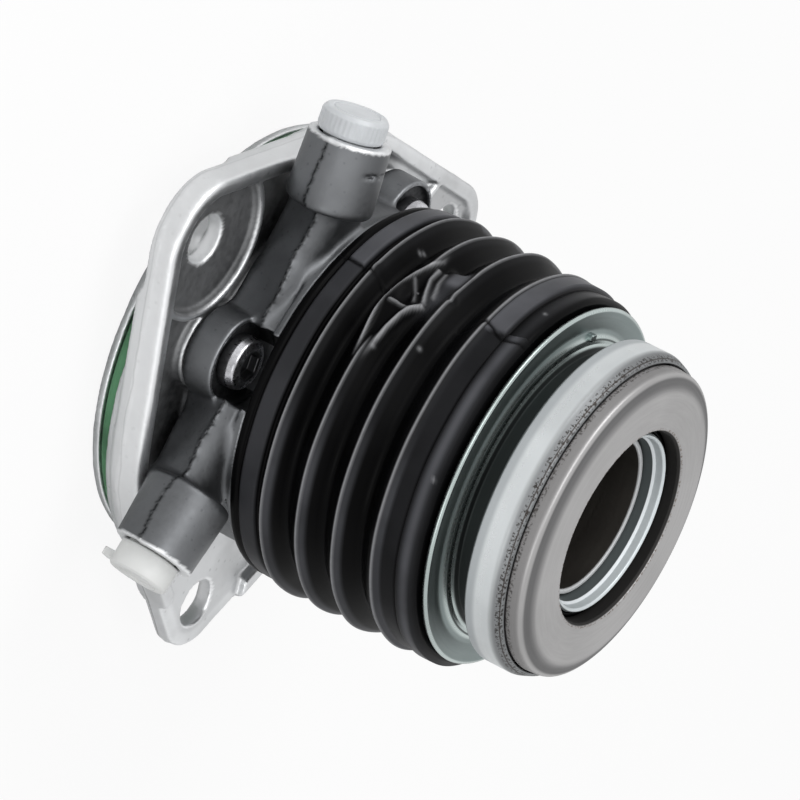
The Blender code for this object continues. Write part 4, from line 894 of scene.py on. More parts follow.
def build_finishes(context):
    """All the finishes, by a short name."""
    f = context.scene.cylinder_finish
    return {
        "bright": cast_material("cast_bright_skin", tuple(f.bright), 0.40, 1.15, 800.0, 0.00005,
                                seam_height=FLANGE_SEAM * MM),
        "dark": cast_material("cast_dark_skin", tuple(f.dark), 0.46, 2.6, 1100.0, 0.00006),
        "rubber": rubber_material("rubber_skin", tuple(f.rubber), 0.36),
        "zinc": turned_metal("zinc_skin", tuple(f.zinc), 0.26, marks=0.15, scale=1200.0,
                             zones=COVER_ZONES),
        "shell": turned_metal("shell_skin", (0.68, 0.71, 0.72), 0.30, marks=0.12, scale=900.0,
                              zones=SHELL_ZONES),
        "screw": cast_material("screw_skin", (0.10, 0.10, 0.105), 0.34, 6.5, 1500.0, 0.00004),
        "race": turned_metal("race_skin", (0.66, 0.71, 0.73), 0.42, marks=0.1, scale=1200.0,
                             metallic=0.4, zones=RACE_ZONES),
        "ground": turned_metal("ground_skin", tuple(f.ground), 0.42, marks=0.3, scale=2600.0,
                               cloud=0.08, zones=THRUST_ZONES),
        "steel": turned_metal("steel_skin", (0.42, 0.42, 0.43), 0.33, scale=1800.0),
        "sleeve": turned_metal("sleeve_skin", (0.10, 0.092, 0.083), 0.5, scale=1800.0,
                               zones=SLEEVE_ZONES),
        "machined": turned_metal("machined_skin", (0.74, 0.75, 0.76), 0.3, scale=1800.0),
        "ring": rubber_material("ring_skin", tuple(f.ring), 0.42),
        "cap": plastic_material("cap_skin", tuple(f.cap), 0.35, 0.0, 0.25),
        "plug": plastic_material("plug_skin", tuple(f.plug), 0.45, 0.1, 0.2),
        "cage": plastic_material("cage_skin", (0.72, 0.66, 0.50), 0.45, 0.0, 0.0),
    }


def finish(name):
    """A finish by its material's name."""
    return bpy.data.materials[name]


# pieces

class SLAVE_OT_finishes(bpy.types.Operator):
    """Make the finishes and give the hidden pieces theirs"""
    bl_idname = "slave.finishes"
    bl_label = "Finishes"

    def execute(self, context):
        made = build_finishes(context)
        wanted = {"piston": "machined", "piston_seal": "rubber", "retaining_ring": "steel",
                  "sleeve_o_ring": "rubber", "ball_cage": "cage"}
        for node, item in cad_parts.items():
            key = wanted.get(node) or ("steel" if node.startswith("ball_") else None)
            if key:
                for slot in item.material_slots:
                    slot.material = made[key]
        return {"FINISHED"}


# ears that the lamps light from the side: x, y, and the radii where paleness starts and ends
PALE_EARS = ((44.3, 12.2, 30.0, 16.0), (-32.8, 32.3, 34.0, 24.0))


def flange_masks(points):
    """Masks of the flange: rubbed edges, side wall, shadowed pocket floor, fresh cuts in the bolt
    holes, and painted light on the front wall, laid on with the cuts."""
    x, y, z = points.T
    outline = flange_outline(x, y)
    side = step(-0.8, -0.1, outline)
    floor = step(12.5, 11.7, z) * step(-2.0, -2.9, outline) * step(9.0, 10.0, z)
    pale, hole = np.zeros_like(x), np.zeros_like(x)
    for px, py, start, end in PALE_EARS:
        pale = np.maximum(pale, step(start, end, np.hypot(x - px, y - py)))
    for degrees, _ in EARS:
        ex, ey = on_circle(BOLT_CIRCLE, degrees)
        hole = np.maximum(hole, step(4.9, 4.6, np.hypot(x - ex, y - ey)))
    floor = floor * (0.75 + 0.25 * step(39.0, 33.0, np.hypot(x, y))) * (1 - 0.8 * pale)
    # painted light: the side wall on the -Y side is whitened as if lit, through the cut mask
    front = 0.75 * side * step(-4.0, -22.0, y)
    return {"edge": step(0.12, 0.6, sharpness(flange_field, points, 0.6)), "side": side,
            "shadow": floor, "cut": np.maximum(hole, front)}


class SLAVE_OT_flange(bpy.types.Operator):
    """Adapter flange casting and its green sealing ring"""
    bl_idname = "slave.flange"
    bl_label = "Adapter flange"

    def execute(self, context):
        cell = context.scene.casting_sizes.flange_cell / MM
        shape = implicit(flange_field, (-46.5, -60.0, -1.5), (56.0, 44.5, 14.5), cell)
        put_mesh("flange_casting", shape, finish("cast_bright_skin"), "housing",
                 ["adapter_flange"], flange_masks(shape[0]))
        turn = ring_of(20)
        section = np.stack([37.7 + 1.15 * np.cos(turn), GROOVE_HEIGHT + 1.3 * np.sin(turn)], -1)
        put_mesh("flange_ring", lathe(section, 240), finish("ring_skin"), "housing",
                 ["flange_o_ring"])
        return {"FINISHED"}


def body_masks(points):
    """Masks of the body: rubbed edges, crack-like parting line, worn front half, shadowed foot
    and screw wells, and fresh cuts on the port ends."""
    x, y, z = points.T
    line = part_line(x)
    fold = sharpness(body_field, points, 0.6)
    fold = fold * (1 - 0.7 * bump(z, line, 1.4) * step(-18.0, -24.0, y))
    crack = bump(z, line + 0.12 * np.sin(3.1 * x) + 0.08 * np.sin(7.3 * x), 0.3)
    cut, shadow = 0.0 * z, 0.8 * step(14.4, 13.2, z)
    for name, (_, _, reach, _) in PORTS.items():
        along = port_field(name, x, y, z)[2]
        cut = np.maximum(cut, step(reach - 0.45, reach - 0.25, along))
    for degrees in SCREWS:
        sx, sy = on_circle(SCREW_CIRCLE, degrees)
        out = np.hypot(x - sx, y - sy)
        shadow = np.maximum(shadow, step(7.2, 6.7, out) * step(18.2, 17.8, z))
    return {"edge": step(0.25, 0.8, fold) * (1 - shadow),
            "crack": crack * step(-20.0, -26.0, y),
            "front": step(-0.1, 0.3, z - line) * (1 - cut), "shadow": shadow, "cut": cut}


class SLAVE_OT_body(bpy.types.Operator):
    """Cylinder body casting with its bar, port bosses and screw lobes"""
    bl_idname = "slave.body"
    bl_label = "Cylinder body"

    def execute(self, context):
        cell = context.scene.casting_sizes.body_cell / MM
        shape = implicit(body_field, (-42.5, -42.5, 11.9), (43.5, 38.5, 31.4), cell)
        put_mesh("body_casting", shape, finish("cast_dark_skin"), "housing", ["cylinder_body"],
                 body_masks(shape[0]))
        put_mesh("body_barrel", lathe(barrel_profile(), 160), finish("cast_dark_skin"),
                 "housing", ["cylinder_body"])
        return {"FINISHED"}


class SLAVE_OT_sleeve(bpy.types.Operator):
    """Guide sleeve and shaft seal"""
    bl_idname = "slave.sleeve"
    bl_label = "Sleeve and shaft seal"

    def execute(self, context):
        sleeve = softened([(13.5, 12.9, .2), (19.0, 12.9, .2), (19.0, 13.85, .2),
                           (14.4, 13.85, .3), (14.4, 74.7, .35), (13.5, 74.7, .3)])
        put_mesh("sleeve_tube", lathe(sleeve, 180), finish("sleeve_skin"), "housing",
                 ["guide_sleeve"])
        seal = softened([(18.9, 2.2, .4), (18.9, 9.05, .3), (12.9, 9.05, .3), (12.9, 7.6, .3),
                         (12.3, 4.8, .3), (12.9, 3.9, .2), (13.9, 3.8, .3), (15.2, 4.6, .4),
                         (15.2, 7.5, .5), (17.5, 7.5, .5), (17.5, 2.2, .3)])
        put_mesh("shaft_seal_ring", lathe(seal, 160), finish("rubber_skin"), "housing",
                 ["shaft_seal"])
        around, tube = ring_of(720)[:, None], ring_of(10)[None, :]
        wire = 0.5 + 0.08 * np.sin(90 * around)
        grid = polar(15.95 + wire * np.cos(tube), around, 3.1 + wire * np.sin(tube))
        put_mesh("garter_coil", wrap_grid(grid), finish("steel_skin"), "housing",
                 ["seal_garter_spring"])
        return {"FINISHED"}


# preload spring: radius of its wire, radius of its coil and number of turns
WIRE = 1.3
COIL_RADIUS = 27.1
COIL_TURNS = 7.5


class SLAVE_OT_spring(bpy.types.Operator):
    """Preload spring"""
    bl_idname = "slave.spring"
    bl_label = "Preload spring"

    def execute(self, context):
        low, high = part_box("preload_spring")
        bottom, top = low[2] / MM + WIRE, high[2] / MM - WIRE
        turn = np.linspace(0.0, COIL_TURNS, 301)[None, :]
        rise = np.interp(turn, (0.0, 1.0, COIL_TURNS - 1.0, COIL_TURNS), (0.0, 0.05, 0.95, 1.0))
        thick = np.ones_like(turn)
        thick[:, 0] = thick[:, -1] = 0.0
        turn[:, 0], turn[:, -1] = turn[:, 1], turn[:, -2]
        rise[:, 0], rise[:, -1] = rise[:, 1], rise[:, -2]
        around = ring_of(14)[:, None]
        out = COIL_RADIUS + WIRE * thick * np.cos(around)
        z = bottom + (top - bottom) * rise - WIRE * thick * np.sin(around)
        grid = polar(out, FULL_TURN * turn, z)
        item = put_mesh("preload_coil", wrap_grid(grid, closed=False), finish("steel_skin"), None)
        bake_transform(item)
        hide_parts("preload_spring")
        return {"FINISHED"}


# heights of the folds' crests, and direction of the crushed place in degrees
CRESTS = (32.2, 39.2, 46.5, 54.1)
DENT_ANGLE = -121.0
# creases of the crushed place: height, width and the (angle, height) points each runs through
CREASES = {
    "rear": (1.5, 0.55, ((-100.0, 38.4), (-108.7, 37.5), (-116.7, 36.5), (-119.9, 36.3),
                         (-126.5, 36.9), (-133.8, 38.8), (-139.4, 40.1), (-146.0, 39.6))),
    "front": (1.4, 0.65, ((-90.3, 39.4), (-97.6, 39.9), (-104.3, 40.3), (-111.0, 40.6),
                          (-116.5, 41.2), (-119.5, 41.9), (-122.1, 43.0))),
    "left": (0.5, 0.35, ((-129.5, 38.6), (-126.0, 40.0), (-122.6, 41.1))),
    "middle": (1.0, 0.45, ((-135.9, 40.7), (-131.5, 40.8), (-127.2, 41.8), (-123.3, 42.8))),
    "right": (0.6, 0.4, ((-136.1, 42.0), (-131.5, 42.4), (-127.0, 43.2))),
    "facet": (0.9, 0.5, ((-119.5, 37.7), (-119.8, 38.9), (-119.2, 40.8))),
    "kink": (0.4, 0.35, ((-131.3, 44.6), (-127.9, 46.7), (-125.4, 48.9)))}
# the mould's seam on the two bands, and specks of dust
SEAM = ((-125.2, 24.5), (-125.2, 26.4), (-124.1, 31.1), (-123.6, 34.0), (-121.5, 36.0))
SEAM_FRONT = ((-121.0, 50.5), (-122.5, 52.5), (-126.4, 54.2), (-123.4, 58.5), (-125.2, 62.0))
SPECKS = ((-143.0, 34.9), (-141.6, 34.6), (-104.4, 40.5), (-109.5, 47.8), (-140.1, 60.1),
          (-79.0, 61.0))


def bellows_section(s):
    """Closed section of the bellows, outer line up and inner line down; the outer line gets
    150 evenly spaced points, and keeps its own at the sharp crests."""
    crest, valley, wall = s.crest / MM, s.valley / MM, s.wall / MM
    outer = [(31.8, 24.95, .2), (33.2, 24.95, .3), (33.9, 25.3, .3), (33.9, 26.3, .3),
             (33.2, 26.75, .25), (34.1, 27.2, .3), (34.2, 30.3, .35), (33.2, 30.9, .3),
             (crest - .9, 31.5, .3), (crest + .3, 32.2, .2), (crest - .7, 33.4, 1.0)]
    inner = [(31.8, 29.8, .6), (crest - wall - .3, 32.4, .5)]
    for z in (39.2, 46.5):
        outer += [(valley, z - 3.6, 1.1), (crest - 1.0, z - 1.2, 1.0), (crest, z, .18),
                  (crest - .9, z + 1.3, 1.0)]
        inner += [(valley - wall, z - 3.6, .8), (crest - wall - .3, z + .2, .5)]
    outer += [(valley, 50.4, 1.1), (crest - 1.1, 52.9, 1.0), (crest - .4, 54.1, .2),
              (33.7, 54.8, .4), (33.6, 58.1, .3), (33.0, 58.35, .2), (33.3, 58.6, .2),
              (33.3, 61.5, .4), (32.6, 62.2, .3), (29.0, 62.2, .2)]
    inner += [(valley - wall, 50.4, .8), (32.2, 54.4, .6), (31.6, 58.6, .4), (31.4, 61.0, .3),
              (29.0, 61.0, .2)]
    line = softened(outer + inner[::-1], steps=3, guard=0.3)
    last = int(np.nonzero(line[:, 1] > 62.15)[0][-1])
    front, back = line[:last + 1], line[last + 1:]
    along = np.concatenate([[0.0], np.cumsum(np.hypot(*np.diff(front, axis=0).T))])
    sharp = np.min(np.abs(front[:, 1][:, None] - np.array(CRESTS)[None, :]), axis=1) < 0.35
    spots = np.unique(np.concatenate([np.linspace(0.0, along[-1], 150), along[sharp]]).round(3))
    front = np.stack([np.interp(spots, along, front[:, k]) for k in (0, 1)], axis=-1)
    return np.concatenate([front, back])


def from_line(degrees, z, line):
    """Distance in mm of each place on the folds to a line of (angle, height) points: the
    smallest of its distances to the line's pieces, an angle counting 0.6 mm a degree."""
    nearest = None
    for (a0, z0), (a1, z1) in zip(line[:-1], line[1:]):
        dx, dy = (a1 - a0) * 0.6, z1 - z0
        x, y = (degrees - a0) * 0.6, z - z0
        t = np.clip((x * dx + y * dy) / (dx * dx + dy * dy), 0.0, 1.0)
        d = np.hypot(x - t * dx, y - t * dy)
        nearest = d if nearest is None else np.minimum(nearest, d)
    return nearest


def crushed(degrees, z, r):
    """Radius, painted highlight of the creases and share of the dent where the second fold is
    crushed: inside a squarish bell the fold gives way to a shallow floor with a hollow, and
    creases of bell section stand on it."""
    a = (degrees - DENT_ANGLE) / 16.5
    h = (z - 39.9 + 0.08 * (degrees - DENT_ANGLE)) / 3.5
    share = np.exp(-(a * a + h * h) ** 2.2)
    floor = 33.05 - 1.3 * np.exp(-((degrees + 125.5) / 5.5) ** 2 - ((z - 39.4) / 1.3) ** 2)
    light = 0.0 * floor
    for name, (height, width, line) in CREASES.items():
        away = from_line(degrees, z, line)
        floor = floor + height * np.exp(-(away / width) ** 2)
        if name != "kink":
            light = np.maximum(light, min(1.0, 0.6 * height) * np.exp(-(away / 0.3) ** 2))
    radius = r + (np.minimum(floor, 34.75) - r) * share
    radius = radius + 0.12 * share * (1 - share) * np.sin(0.9 * degrees) * np.sin(1.7 * z)
    flat = np.exp(-((degrees + 135.5) / 5.0) ** 4 - ((z - 43.9) / 2.4) ** 4)
    radius = radius + (33.75 - radius) * 0.9 * flat
    notch = np.exp(-((degrees + 127.5) / 1.1) ** 2 - ((z - 46.7) / 0.8) ** 2)
    peak = np.exp(-((degrees + 125.5) / 1.3) ** 2 - ((z - 32.7) / 0.8) ** 2)
    return radius - 0.55 * notch + 0.35 * peak, light * np.clip(share * 2.5, 0.0, 1.0), share


def seam_steps(near, z):
    """Height of the moulded steps at the bands, with each band's own place: the rubber is
    thicker on one side of the mould's seam than on the other."""
    below = (step(-125.2, -124.6, near - 0.35 * (z - 28.0) * (z < 35)
                  + 0.55 * (z - 56.4) * (z > 50)) - step(40.0, 50.0, near))
    base = step(27.0, 27.4, z) * step(30.6, 30.2, z)
    inner = step(54.5, 54.9, z) * step(58.3, 58.0, z)
    outer = step(58.4, 58.7, z) * step(61.8, 61.4, z)
    lap = base * (0.25 - 0.4 * below) + inner * (0.4 - 0.65 * below) + outer * (
        0.55 * below - 0.1)
    return lap, below, base, inner


def highlight_and_dust_lines(near, z, share, crease_highlight):
    """Painted highlights as thin lines, one on each crest outside the dent and on the creases,
    with specks of dust.
    """
    line = np.zeros(share.shape)
    for height in CRESTS:
        line = line + bump(z, height + 0.08, 0.2)
    for spot, height in SPECKS:
        line = line + 0.8 * np.exp(-((near - spot) / 0.6) ** 2 - ((z - height) / 0.3) ** 2)
    return line * (1 - np.clip(1.6 * share, 0.0, 1.0)) * 0.55 + crease_highlight


def soft_sheen(near, z, share, below, base, inner):
    """Wide soft shine: over each crest away from the dent, on the bands, and on the flat and
    the fold beside the dent."""
    soft = np.zeros(share.shape)
    for height in CRESTS:
        soft = soft + (0.05 + 0.45 * step(-92.0, -62.0, near)) * step(
            height - 0.2, height + 0.1, z) * step(height + 1.7, height + 0.9, z)
    soft = soft * (1 - share) + base * (0.8 - 0.45 * below)
    soft = soft + inner * (0.75 - 0.65 * below) + bump(z, 60.2, 1.0) * (0.2 + 0.5 * below)
    soft = soft + 0.95 * np.exp(-((near + 136.5) / 3.6) ** 4 - ((z - 44.4) / 1.4) ** 4)
    soft = soft + 0.4 * np.exp(-((near + 128.0) / 6.0) ** 2 - ((z - 44.0) / 1.4) ** 2)
    return np.clip(soft, 0.0, 1.0)


class SLAVE_OT_bellows(bpy.types.Operator):
    """Rubber bellows with its moulded seam and its crushed place"""
    bl_idname = "slave.bellows"
    bl_label = "Bellows"

    def execute(self, context):
        s = context.scene.bellows_sizes
        section = bellows_section(s)
        degrees = np.concatenate([np.arange(-146.0, -98.0, s.fine),
                                  np.arange(-98.0, 213.6, 1.35)])[:, None]
        angle = np.radians(degrees)
        near = (degrees + 180.0) % 360.0 - 180.0
        r, z = section[:, 0][None, :], section[:, 1][None, :]
        outside = step(30.0, 31.2, r) * step(24.8, 25.2, z)
        radius, crease_highlight, share = crushed(near, z, r)
        radius = r + (radius - r) * outside * s.dent / DENT / MM
        lap, below, base, inner = seam_steps(near, z)
        ragged = 0.06 * np.sin(5 * angle + 0.35 * z) + 0.04 * np.sin(13 * angle - 0.2 * z)
        seam = np.minimum(from_line(near, z, SEAM), from_line(near, z, SEAM_FRONT))
        groove = np.exp(-(seam / 0.3) ** 2)
        radius = radius + (lap + ragged - 0.22 * groove) * outside
        # masks of painted highlights on crests and creases with specks of dust, and of a painted
        # sheen
        line = highlight_and_dust_lines(near, z, share, crease_highlight) * (1 - groove) * outside
        soft = soft_sheen(near, z, share, below, base, inner) * (1 - groove) * outside
        item = put_mesh("bellows_rubber", wrap_grid(polar(radius, angle, z)),
                        finish("rubber_skin"), None,
                        masks={"edge": line.ravel(), "sheen": soft.ravel()})
        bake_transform(item)
        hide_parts("bellows")
        return {"FINISHED"}


# direction of the cover's tab, in degrees
COVER_TAB = -159.0


class SLAVE_OT_cover(bpy.types.Operator):
    """Plated spring cover with its bent tab"""
    bl_idname = "slave.cover"
    bl_label = "Spring cover"

    def execute(self, context):
        around = context.scene.bearing_sizes.around
        section = softened([
            (16.8, 63.3, .2), (24.2, 63.3, .5), (25.8, 62.6, .6), (30.8, 62.6, .5),
            (32.1, 63.0, .3), (32.35, 63.6, .3), (31.9, 63.95, .3), (30.4, 63.7, .8),
            (28.4, 63.5, .9), (27.0, 64.35, .3), (26.3, 64.55, .25), (25.2, 65.4, .4),
            (25.1, 67.9, .3),
            (24.1, 68.0, .3), (24.1, 64.3, .5), (16.8, 64.3, .2)], steps=5)
        shape = lathe(section, around)
        u = ring_of(32)[:, None]
        rise = softened([(0, 63.0, 0), (1, 63.0, .1), (1, 64.65, .25), (.8, 64.85, .1),
                         (0, 64.85, 0)], closed=False, guard=0.05)
        across = rise[:, 0][None, :] * rounded_square(u, 6)
        local = np.stack([27.6 + 0.62 * across * np.cos(u), 0.78 * across * np.sin(u),
                          rise[:, 1][None, :] + 0 * u], axis=-1)
        tab = wrap_grid(local @ turn_matrix(math.radians(COVER_TAB)), closed=False)
        put_mesh("cover_plate", join_shapes(shape, tab), finish("zinc_skin"), "piston_group",
                 ["spring_cover"])
        return {"FINISHED"}


class SLAVE_OT_bearing(bpy.types.Operator):
    """Release bearing: thrust ring, shell, inner race and seal"""
    bl_idname = "slave.bearing"
    bl_label = "Release bearing"

    def execute(self, context):
        s = context.scene.bearing_sizes
        face, hole = s.face / MM, s.hole / MM
        thrust = softened([
            (hole, 77.0, .3), (20.7, 76.9, .5), (21.6, 75.9, .5), (21.6, 74.9, .4),
            (24.1, 73.9, .8), (25.1, 71.4, .3), (25.1, 70.5, .2), (27.3, 70.5, .3),
            (27.3, 76.0, .3), (27.7, 76.4, .3), (27.5, 78.8, .9), (26.8, 79.25, .4),
            (26.2, 79.35, .4), (24.6, face, 1.5), (hole + .45, face, .25),
            (hole, face - .6, .25)], steps=5)
        put_mesh("thrust_face_ring", lathe(thrust, s.around), finish("ground_skin"),
                 "bearing_group", ["thrust_ring"])
        shell = softened([
            (25.4, 69.1, .3), (28.9, 69.1, .9), (29.3, 69.6, .5), (29.3, 74.4, 1.6),
            (28.6, 76.1, .9), (28.1, 76.4, .25), (27.85, 76.2, .2), (27.95, 70.2, .6),
            (25.4, 70.1, .3)], steps=5)
        put_mesh("shell_ring", lathe(shell, s.around), finish("shell_skin"), "bearing_group",
                 ["bearing_shell"])
        seal = softened([(16.6, 75.6, .2), (19.6, 75.6, .2), (19.6, 76.5, .2), (17.05, 76.6, .2),
                         (17.0, 77.3, .25), (16.5, 77.4, .25), (16.4, 76.6, .2)])
        put_mesh("bearing_seal_ring", lathe(seal, s.around), finish("rubber_skin"),
                 "bearing_group", ["bearing_seal"])
        race = softened([
            (14.85, 64.6, .3), (23.6, 64.6, .3), (23.6, 65.9, .3), (19.6, 65.9, .5),
            (19.6, 68.5, .3), (18.4, 70.0, .6), (18.1, 71.4, .4), (18.7, 73.4, .4),
            (16.9, 74.6, .8), (16.2, 76.0, .6), (16.2, 77.6, .5), (15.9, 78.25, .35),
            (15.4, 77.9, .35), (15.3, 76.55, .12), (14.9, 76.2, .12), (14.85, 75.0, .3)], steps=5)
        put_mesh("race_lip_ring", lathe(race, s.around), finish("race_skin"), "piston_group",
                 ["inner_race"])
        return {"FINISHED"}


class SLAVE_OT_screws(bpy.types.Operator):
    """Body screws with their hexagon sockets"""
    bl_idname = "slave.screws"
    bl_label = "Body screws"

    def execute(self, context):
        turn = ring_of(96)[:, None]
        head = softened([
            (0, 7.0, 0), (1.9, 7.0, .2), (2.3, 7.5, .2), (2.3, 17.45, .15), (4.65, 17.5, .2),
            (4.7, 19.3, .6), (4.35, 20.5, .7), (3.3, 20.9, .5), (2.75, 20.85, .15),
            (2.55, 20.6, .1), (2.5, 19.2, .2), (0, 18.9, 0)], closed=False, steps=4, guard=0.1)
        r, z = head[:, 0][None, :], head[:, 1][None, :]
        corner = np.mod(turn, FULL_TURN / 6) - FULL_TURN / 12
        hexagon = math.cos(math.pi / 6) / np.cos(corner)
        socket = step(3.1, 2.6, r) * step(18.0, 18.6, z)
        radius = r * (1 + (hexagon - 1) * socket)
        base, faces = wrap_grid(polar(radius, turn, z), closed=False)
        rim = np.hypot(base[:, 0], base[:, 1])
        rim = step(2.6, 3.0, rim) * step(17.6, 18.6, base[:, 2]) * (
            0.75 + 0.25 * np.sin(5 * np.arctan2(base[:, 1], base[:, 0])))
        for number, degrees in enumerate(SCREWS, 1):
            x, y = on_circle(SCREW_CIRCLE, degrees)
            turned = base @ turn_matrix(math.radians(17.0 * number))
            put_mesh("screw_head_%d" % number, (turned + (x, y, 0), faces),
                     finish("screw_skin"), "housing", ["body_screw_%d" % number], {"edge": rim})
        return {"FINISHED"}


# hollow stem that holds the cap and the plug in their ports
STEM = [(0, -1.0, 0), (2.9, -1.0, .2), (3.1, -8.0, .2), (4.3, -8.0, .2), (4.3, .3, .2)]


class SLAVE_OT_caps(bpy.types.Operator):
    """Transport cap and plug of the two ports"""
    bl_idname = "slave.caps"
    bl_label = "Transport caps"

    def execute(self, context):
        turn = ring_of(180)[:, None]
        line = softened(STEM + [
            (5.45, .3, .3), (5.7, 1.0, .4), (5.65, 3.7, .5), (5.1, 4.45, .4), (4.15, 4.45, .1),
            (3.95, 4.2, .12), (3.7, 4.45, .15), (2.0, 4.5, .3), (0, 4.5, 0)],
            closed=False, steps=3, guard=0.12)
        r, z = line[:, 0][None, :], line[:, 1][None, :]
        ribs = 0.06 * np.cos(40 * turn) * step(5.2, 5.5, r) * step(0.6, 1.2, z) * step(
            4.0, 3.4, z)
        shape = wrap_grid(polar(r + ribs, turn, z), closed=False)
        put_mesh("cap_moulding", turned_to(shape, *port_axes("upper")), finish("cap_skin"),
                 "housing", ["upper_port_cap"])
        line = softened(STEM + [
            (5.2, .3, .3), (5.3, .9, .3), (5.25, 4.5, .3), (4.9, 4.85, .25), (3.6, 4.85, .1),
            (3.4, 4.4, .2), (0, 4.4, 0)], closed=False, steps=3, guard=0.12)
        plug = lathe(line, 120, closed=False)
        u = ring_of(40)[:, None]
        rise = softened([(0, -.7, 0), (1, -.7, .2), (1, .7, .2), (0, .7, 0)], closed=False,
                        guard=0.05)
        square = rounded_square(u, 8)
        local = np.stack([1.35 * rise[:, 0][None, :] * square * np.cos(u),
                          -5.7 + 1.7 * rise[:, 0][None, :] * square * np.sin(u),
                          3.3 + rise[:, 1][None, :] + 0 * u], axis=-1)
        tab = wrap_grid(local, closed=False)
        put_mesh("plug_moulding", turned_to(join_shapes(plug, tab), *port_axes("lower")),
                 finish("plug_skin"), "housing", ["lower_port_plug"])
        return {"FINISHED"}


# camera in metres: place, and the directions of the picture's right and up
CAMERA_PLACE = (-0.002813, -0.758642, 0.390468)
CAMERA_RIGHT = (-0.450, 0.380, 0.808)
CAMERA_UP = (-0.893, -0.191, -0.407)
LAMP_AIM = (0, 0, 0.04)
# lamps: name, place in metres, size in metres, share of the key lamp's power
LAMPS = (("key", (-0.75, -0.35, 0.55), 0.5, 1.0),
         ("front", (-0.15, -0.55, 0.75), 0.45, 0.5),
         ("side", (0.5, -0.6, 0.35), 0.35, 0.25))
FLOOR_HALF = 1.6
FLOOR_DROP = 0.0004


def soft_surround(scene, level):
    """World that lights the part evenly at a level and looks white to the camera, in
    reflections and through clear pieces."""
    world = bpy.data.worlds.new("surround")
    scene.world = world
    world.use_nodes = True
    tree = world.node_tree
    tree.nodes.clear()
    path = add(tree, "ShaderNodeLightPath")
    seen = math_node(tree, "MAXIMUM", path.outputs["Is Camera Ray"], math_node(
        tree, "MAXIMUM", path.outputs["Is Glossy Ray"], path.outputs["Is Transmission Ray"]))
    strength = times_plus(tree, seen, 1.0 - level, level)
    back = add(tree, "ShaderNodeBackground", {"Color": (1, 1, 1, 1), "Strength": strength})
    out = add(tree, "ShaderNodeOutputWorld")
    tree.links.new(back.outputs[0], out.inputs[0])


def pale_floor(scene):
    """Square of pale paper under the part, lifted towards white for the camera alone."""
    mesh = bpy.data.meshes.new("floor")
    corners = [(x * FLOOR_HALF, y * FLOOR_HALF, -FLOOR_DROP)
               for x, y in ((-1, -1), (1, -1), (1, 1), (-1, 1))]
    mesh.from_pydata(corners, [], [(0, 1, 2, 3)])
    floor = bpy.data.objects.new("floor", mesh)
    scene.collection.objects.link(floor)
    pale, tree, shader = start_material("floor_paper", (0.9, 0.9, 0.9), 0.9, 0.0)
    path = add(tree, "ShaderNodeLightPath")
    glow = add(tree, "ShaderNodeEmission", {"Color": (1, 1, 1, 1), "Strength": 1.0})
    blend = add(tree, "ShaderNodeMixShader")
    tree.links.new(times(tree, path.outputs["Is Camera Ray"], 0.9), blend.inputs[0])
    tree.links.new(shader.outputs[0], blend.inputs[1])
    tree.links.new(glow.outputs[0], blend.inputs[2])
    tree.links.new(blend.outputs[0], tree.nodes["Material Output"].inputs[0])
    mesh.materials.append(pale)


def soft_lamps(scene, power):
    """Square lamps that face the part."""
    for name, spot, size, share in LAMPS:
        lamp = bpy.data.lights.new(name, "AREA")
        lamp.energy = power * share
        lamp.size = size
        item = bpy.data.objects.new(name, lamp)
        item.location = spot
        aim = Vector(LAMP_AIM) - Vector(spot)
        item.rotation_euler = aim.to_track_quat("-Z", "Y").to_euler()
        scene.collection.objects.link(item)


def photo_camera(scene, focal):
    """Camera at the photograph's place: its axes are made square from right and up."""
    lens = bpy.data.cameras.new("photo_camera")
    lens.lens = focal
    lens.sensor_width = 36.0
    lens.clip_end = 10.0
    camera = bpy.data.objects.new("photo_camera", lens)
    right = Vector(CAMERA_RIGHT).normalized()
    up = Vector(CAMERA_UP).normalized()
    back = right.cross(up).normalized()
    up = back.cross(right)
    camera.matrix_world = Matrix.Translation(CAMERA_PLACE) @ Matrix(
        (right, up, back)).transposed().to_4x4()
    scene.collection.objects.link(camera)
    scene.camera = camera


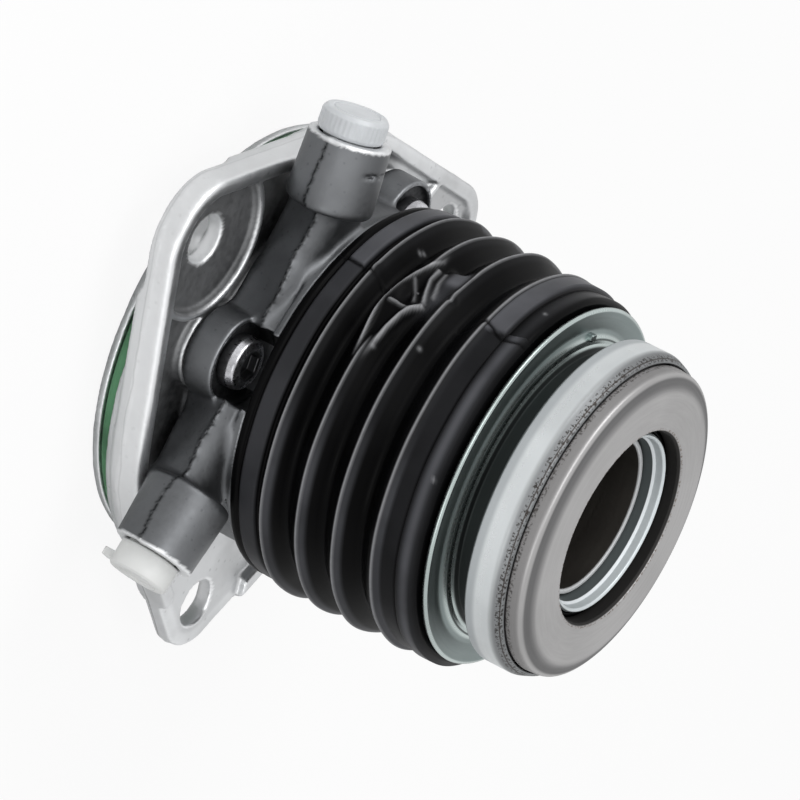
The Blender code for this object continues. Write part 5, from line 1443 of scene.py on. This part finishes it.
class SLAVE_OT_studio(bpy.types.Operator):
    """Pale floor, soft lamps, surround and the camera"""
    bl_idname = "slave.studio"
    bl_label = "Studio"

    def execute(self, context):
        scene, s = context.scene, context.scene.studio_settings
        scene.view_settings.view_transform = "Standard"
        soft_surround(scene, s.level)
        pale_floor(scene)
        soft_lamps(scene, s.key)
        photo_camera(scene, s.lens)
        return {"FINISHED"}


class SLAVE_PT_panel(bpy.types.Panel):
    """Lists the pieces and their settings"""
    bl_idname = "SLAVE_PT_panel"
    bl_label = "Slave cylinder"
    bl_space_type = "VIEW_3D"
    bl_region_type = "UI"
    bl_category = "Slave cylinder"

    def draw(self, context):
        scene = context.scene
        for group in ("cylinder_finish", "casting_sizes", "bellows_sizes", "bearing_sizes",
                      "studio_settings"):
            settings = getattr(scene, group)
            box = self.layout.box()
            for key in settings.__annotations__:
                box.prop(settings, key)
        for operator in PIECES:
            self.layout.operator(operator.bl_idname)


PIECES = (SLAVE_OT_finishes, SLAVE_OT_studio, SLAVE_OT_flange, SLAVE_OT_body, SLAVE_OT_sleeve,
          SLAVE_OT_spring, SLAVE_OT_bellows, SLAVE_OT_cover, SLAVE_OT_bearing,
          SLAVE_OT_screws, SLAVE_OT_caps)
GROUPS = {"cylinder_finish": CylinderFinish, "casting_sizes": CastingSizes,
          "bellows_sizes": BellowsSizes, "bearing_sizes": BearingSizes,
          "studio_settings": StudioSettings}


def register():
    """Register the settings, the operators and the panel."""
    for name, group in GROUPS.items():
        bpy.utils.register_class(group)
        setattr(bpy.types.Scene, name, bpy.props.PointerProperty(type=group))
    for item in PIECES + (SLAVE_PT_panel,):
        bpy.utils.register_class(item)


def unregister():
    """Undo register."""
    for item in (SLAVE_PT_panel,) + PIECES[::-1]:
        bpy.utils.unregister_class(item)
    for name, group in GROUPS.items():
        delattr(bpy.types.Scene, name)
        bpy.utils.unregister_class(group)


def main():
    """Build the looks."""
    register()
    for operator in PIECES:
        getattr(bpy.ops.slave, operator.bl_idname.split(".")[1])()


if __name__ == "__main__":
    main()
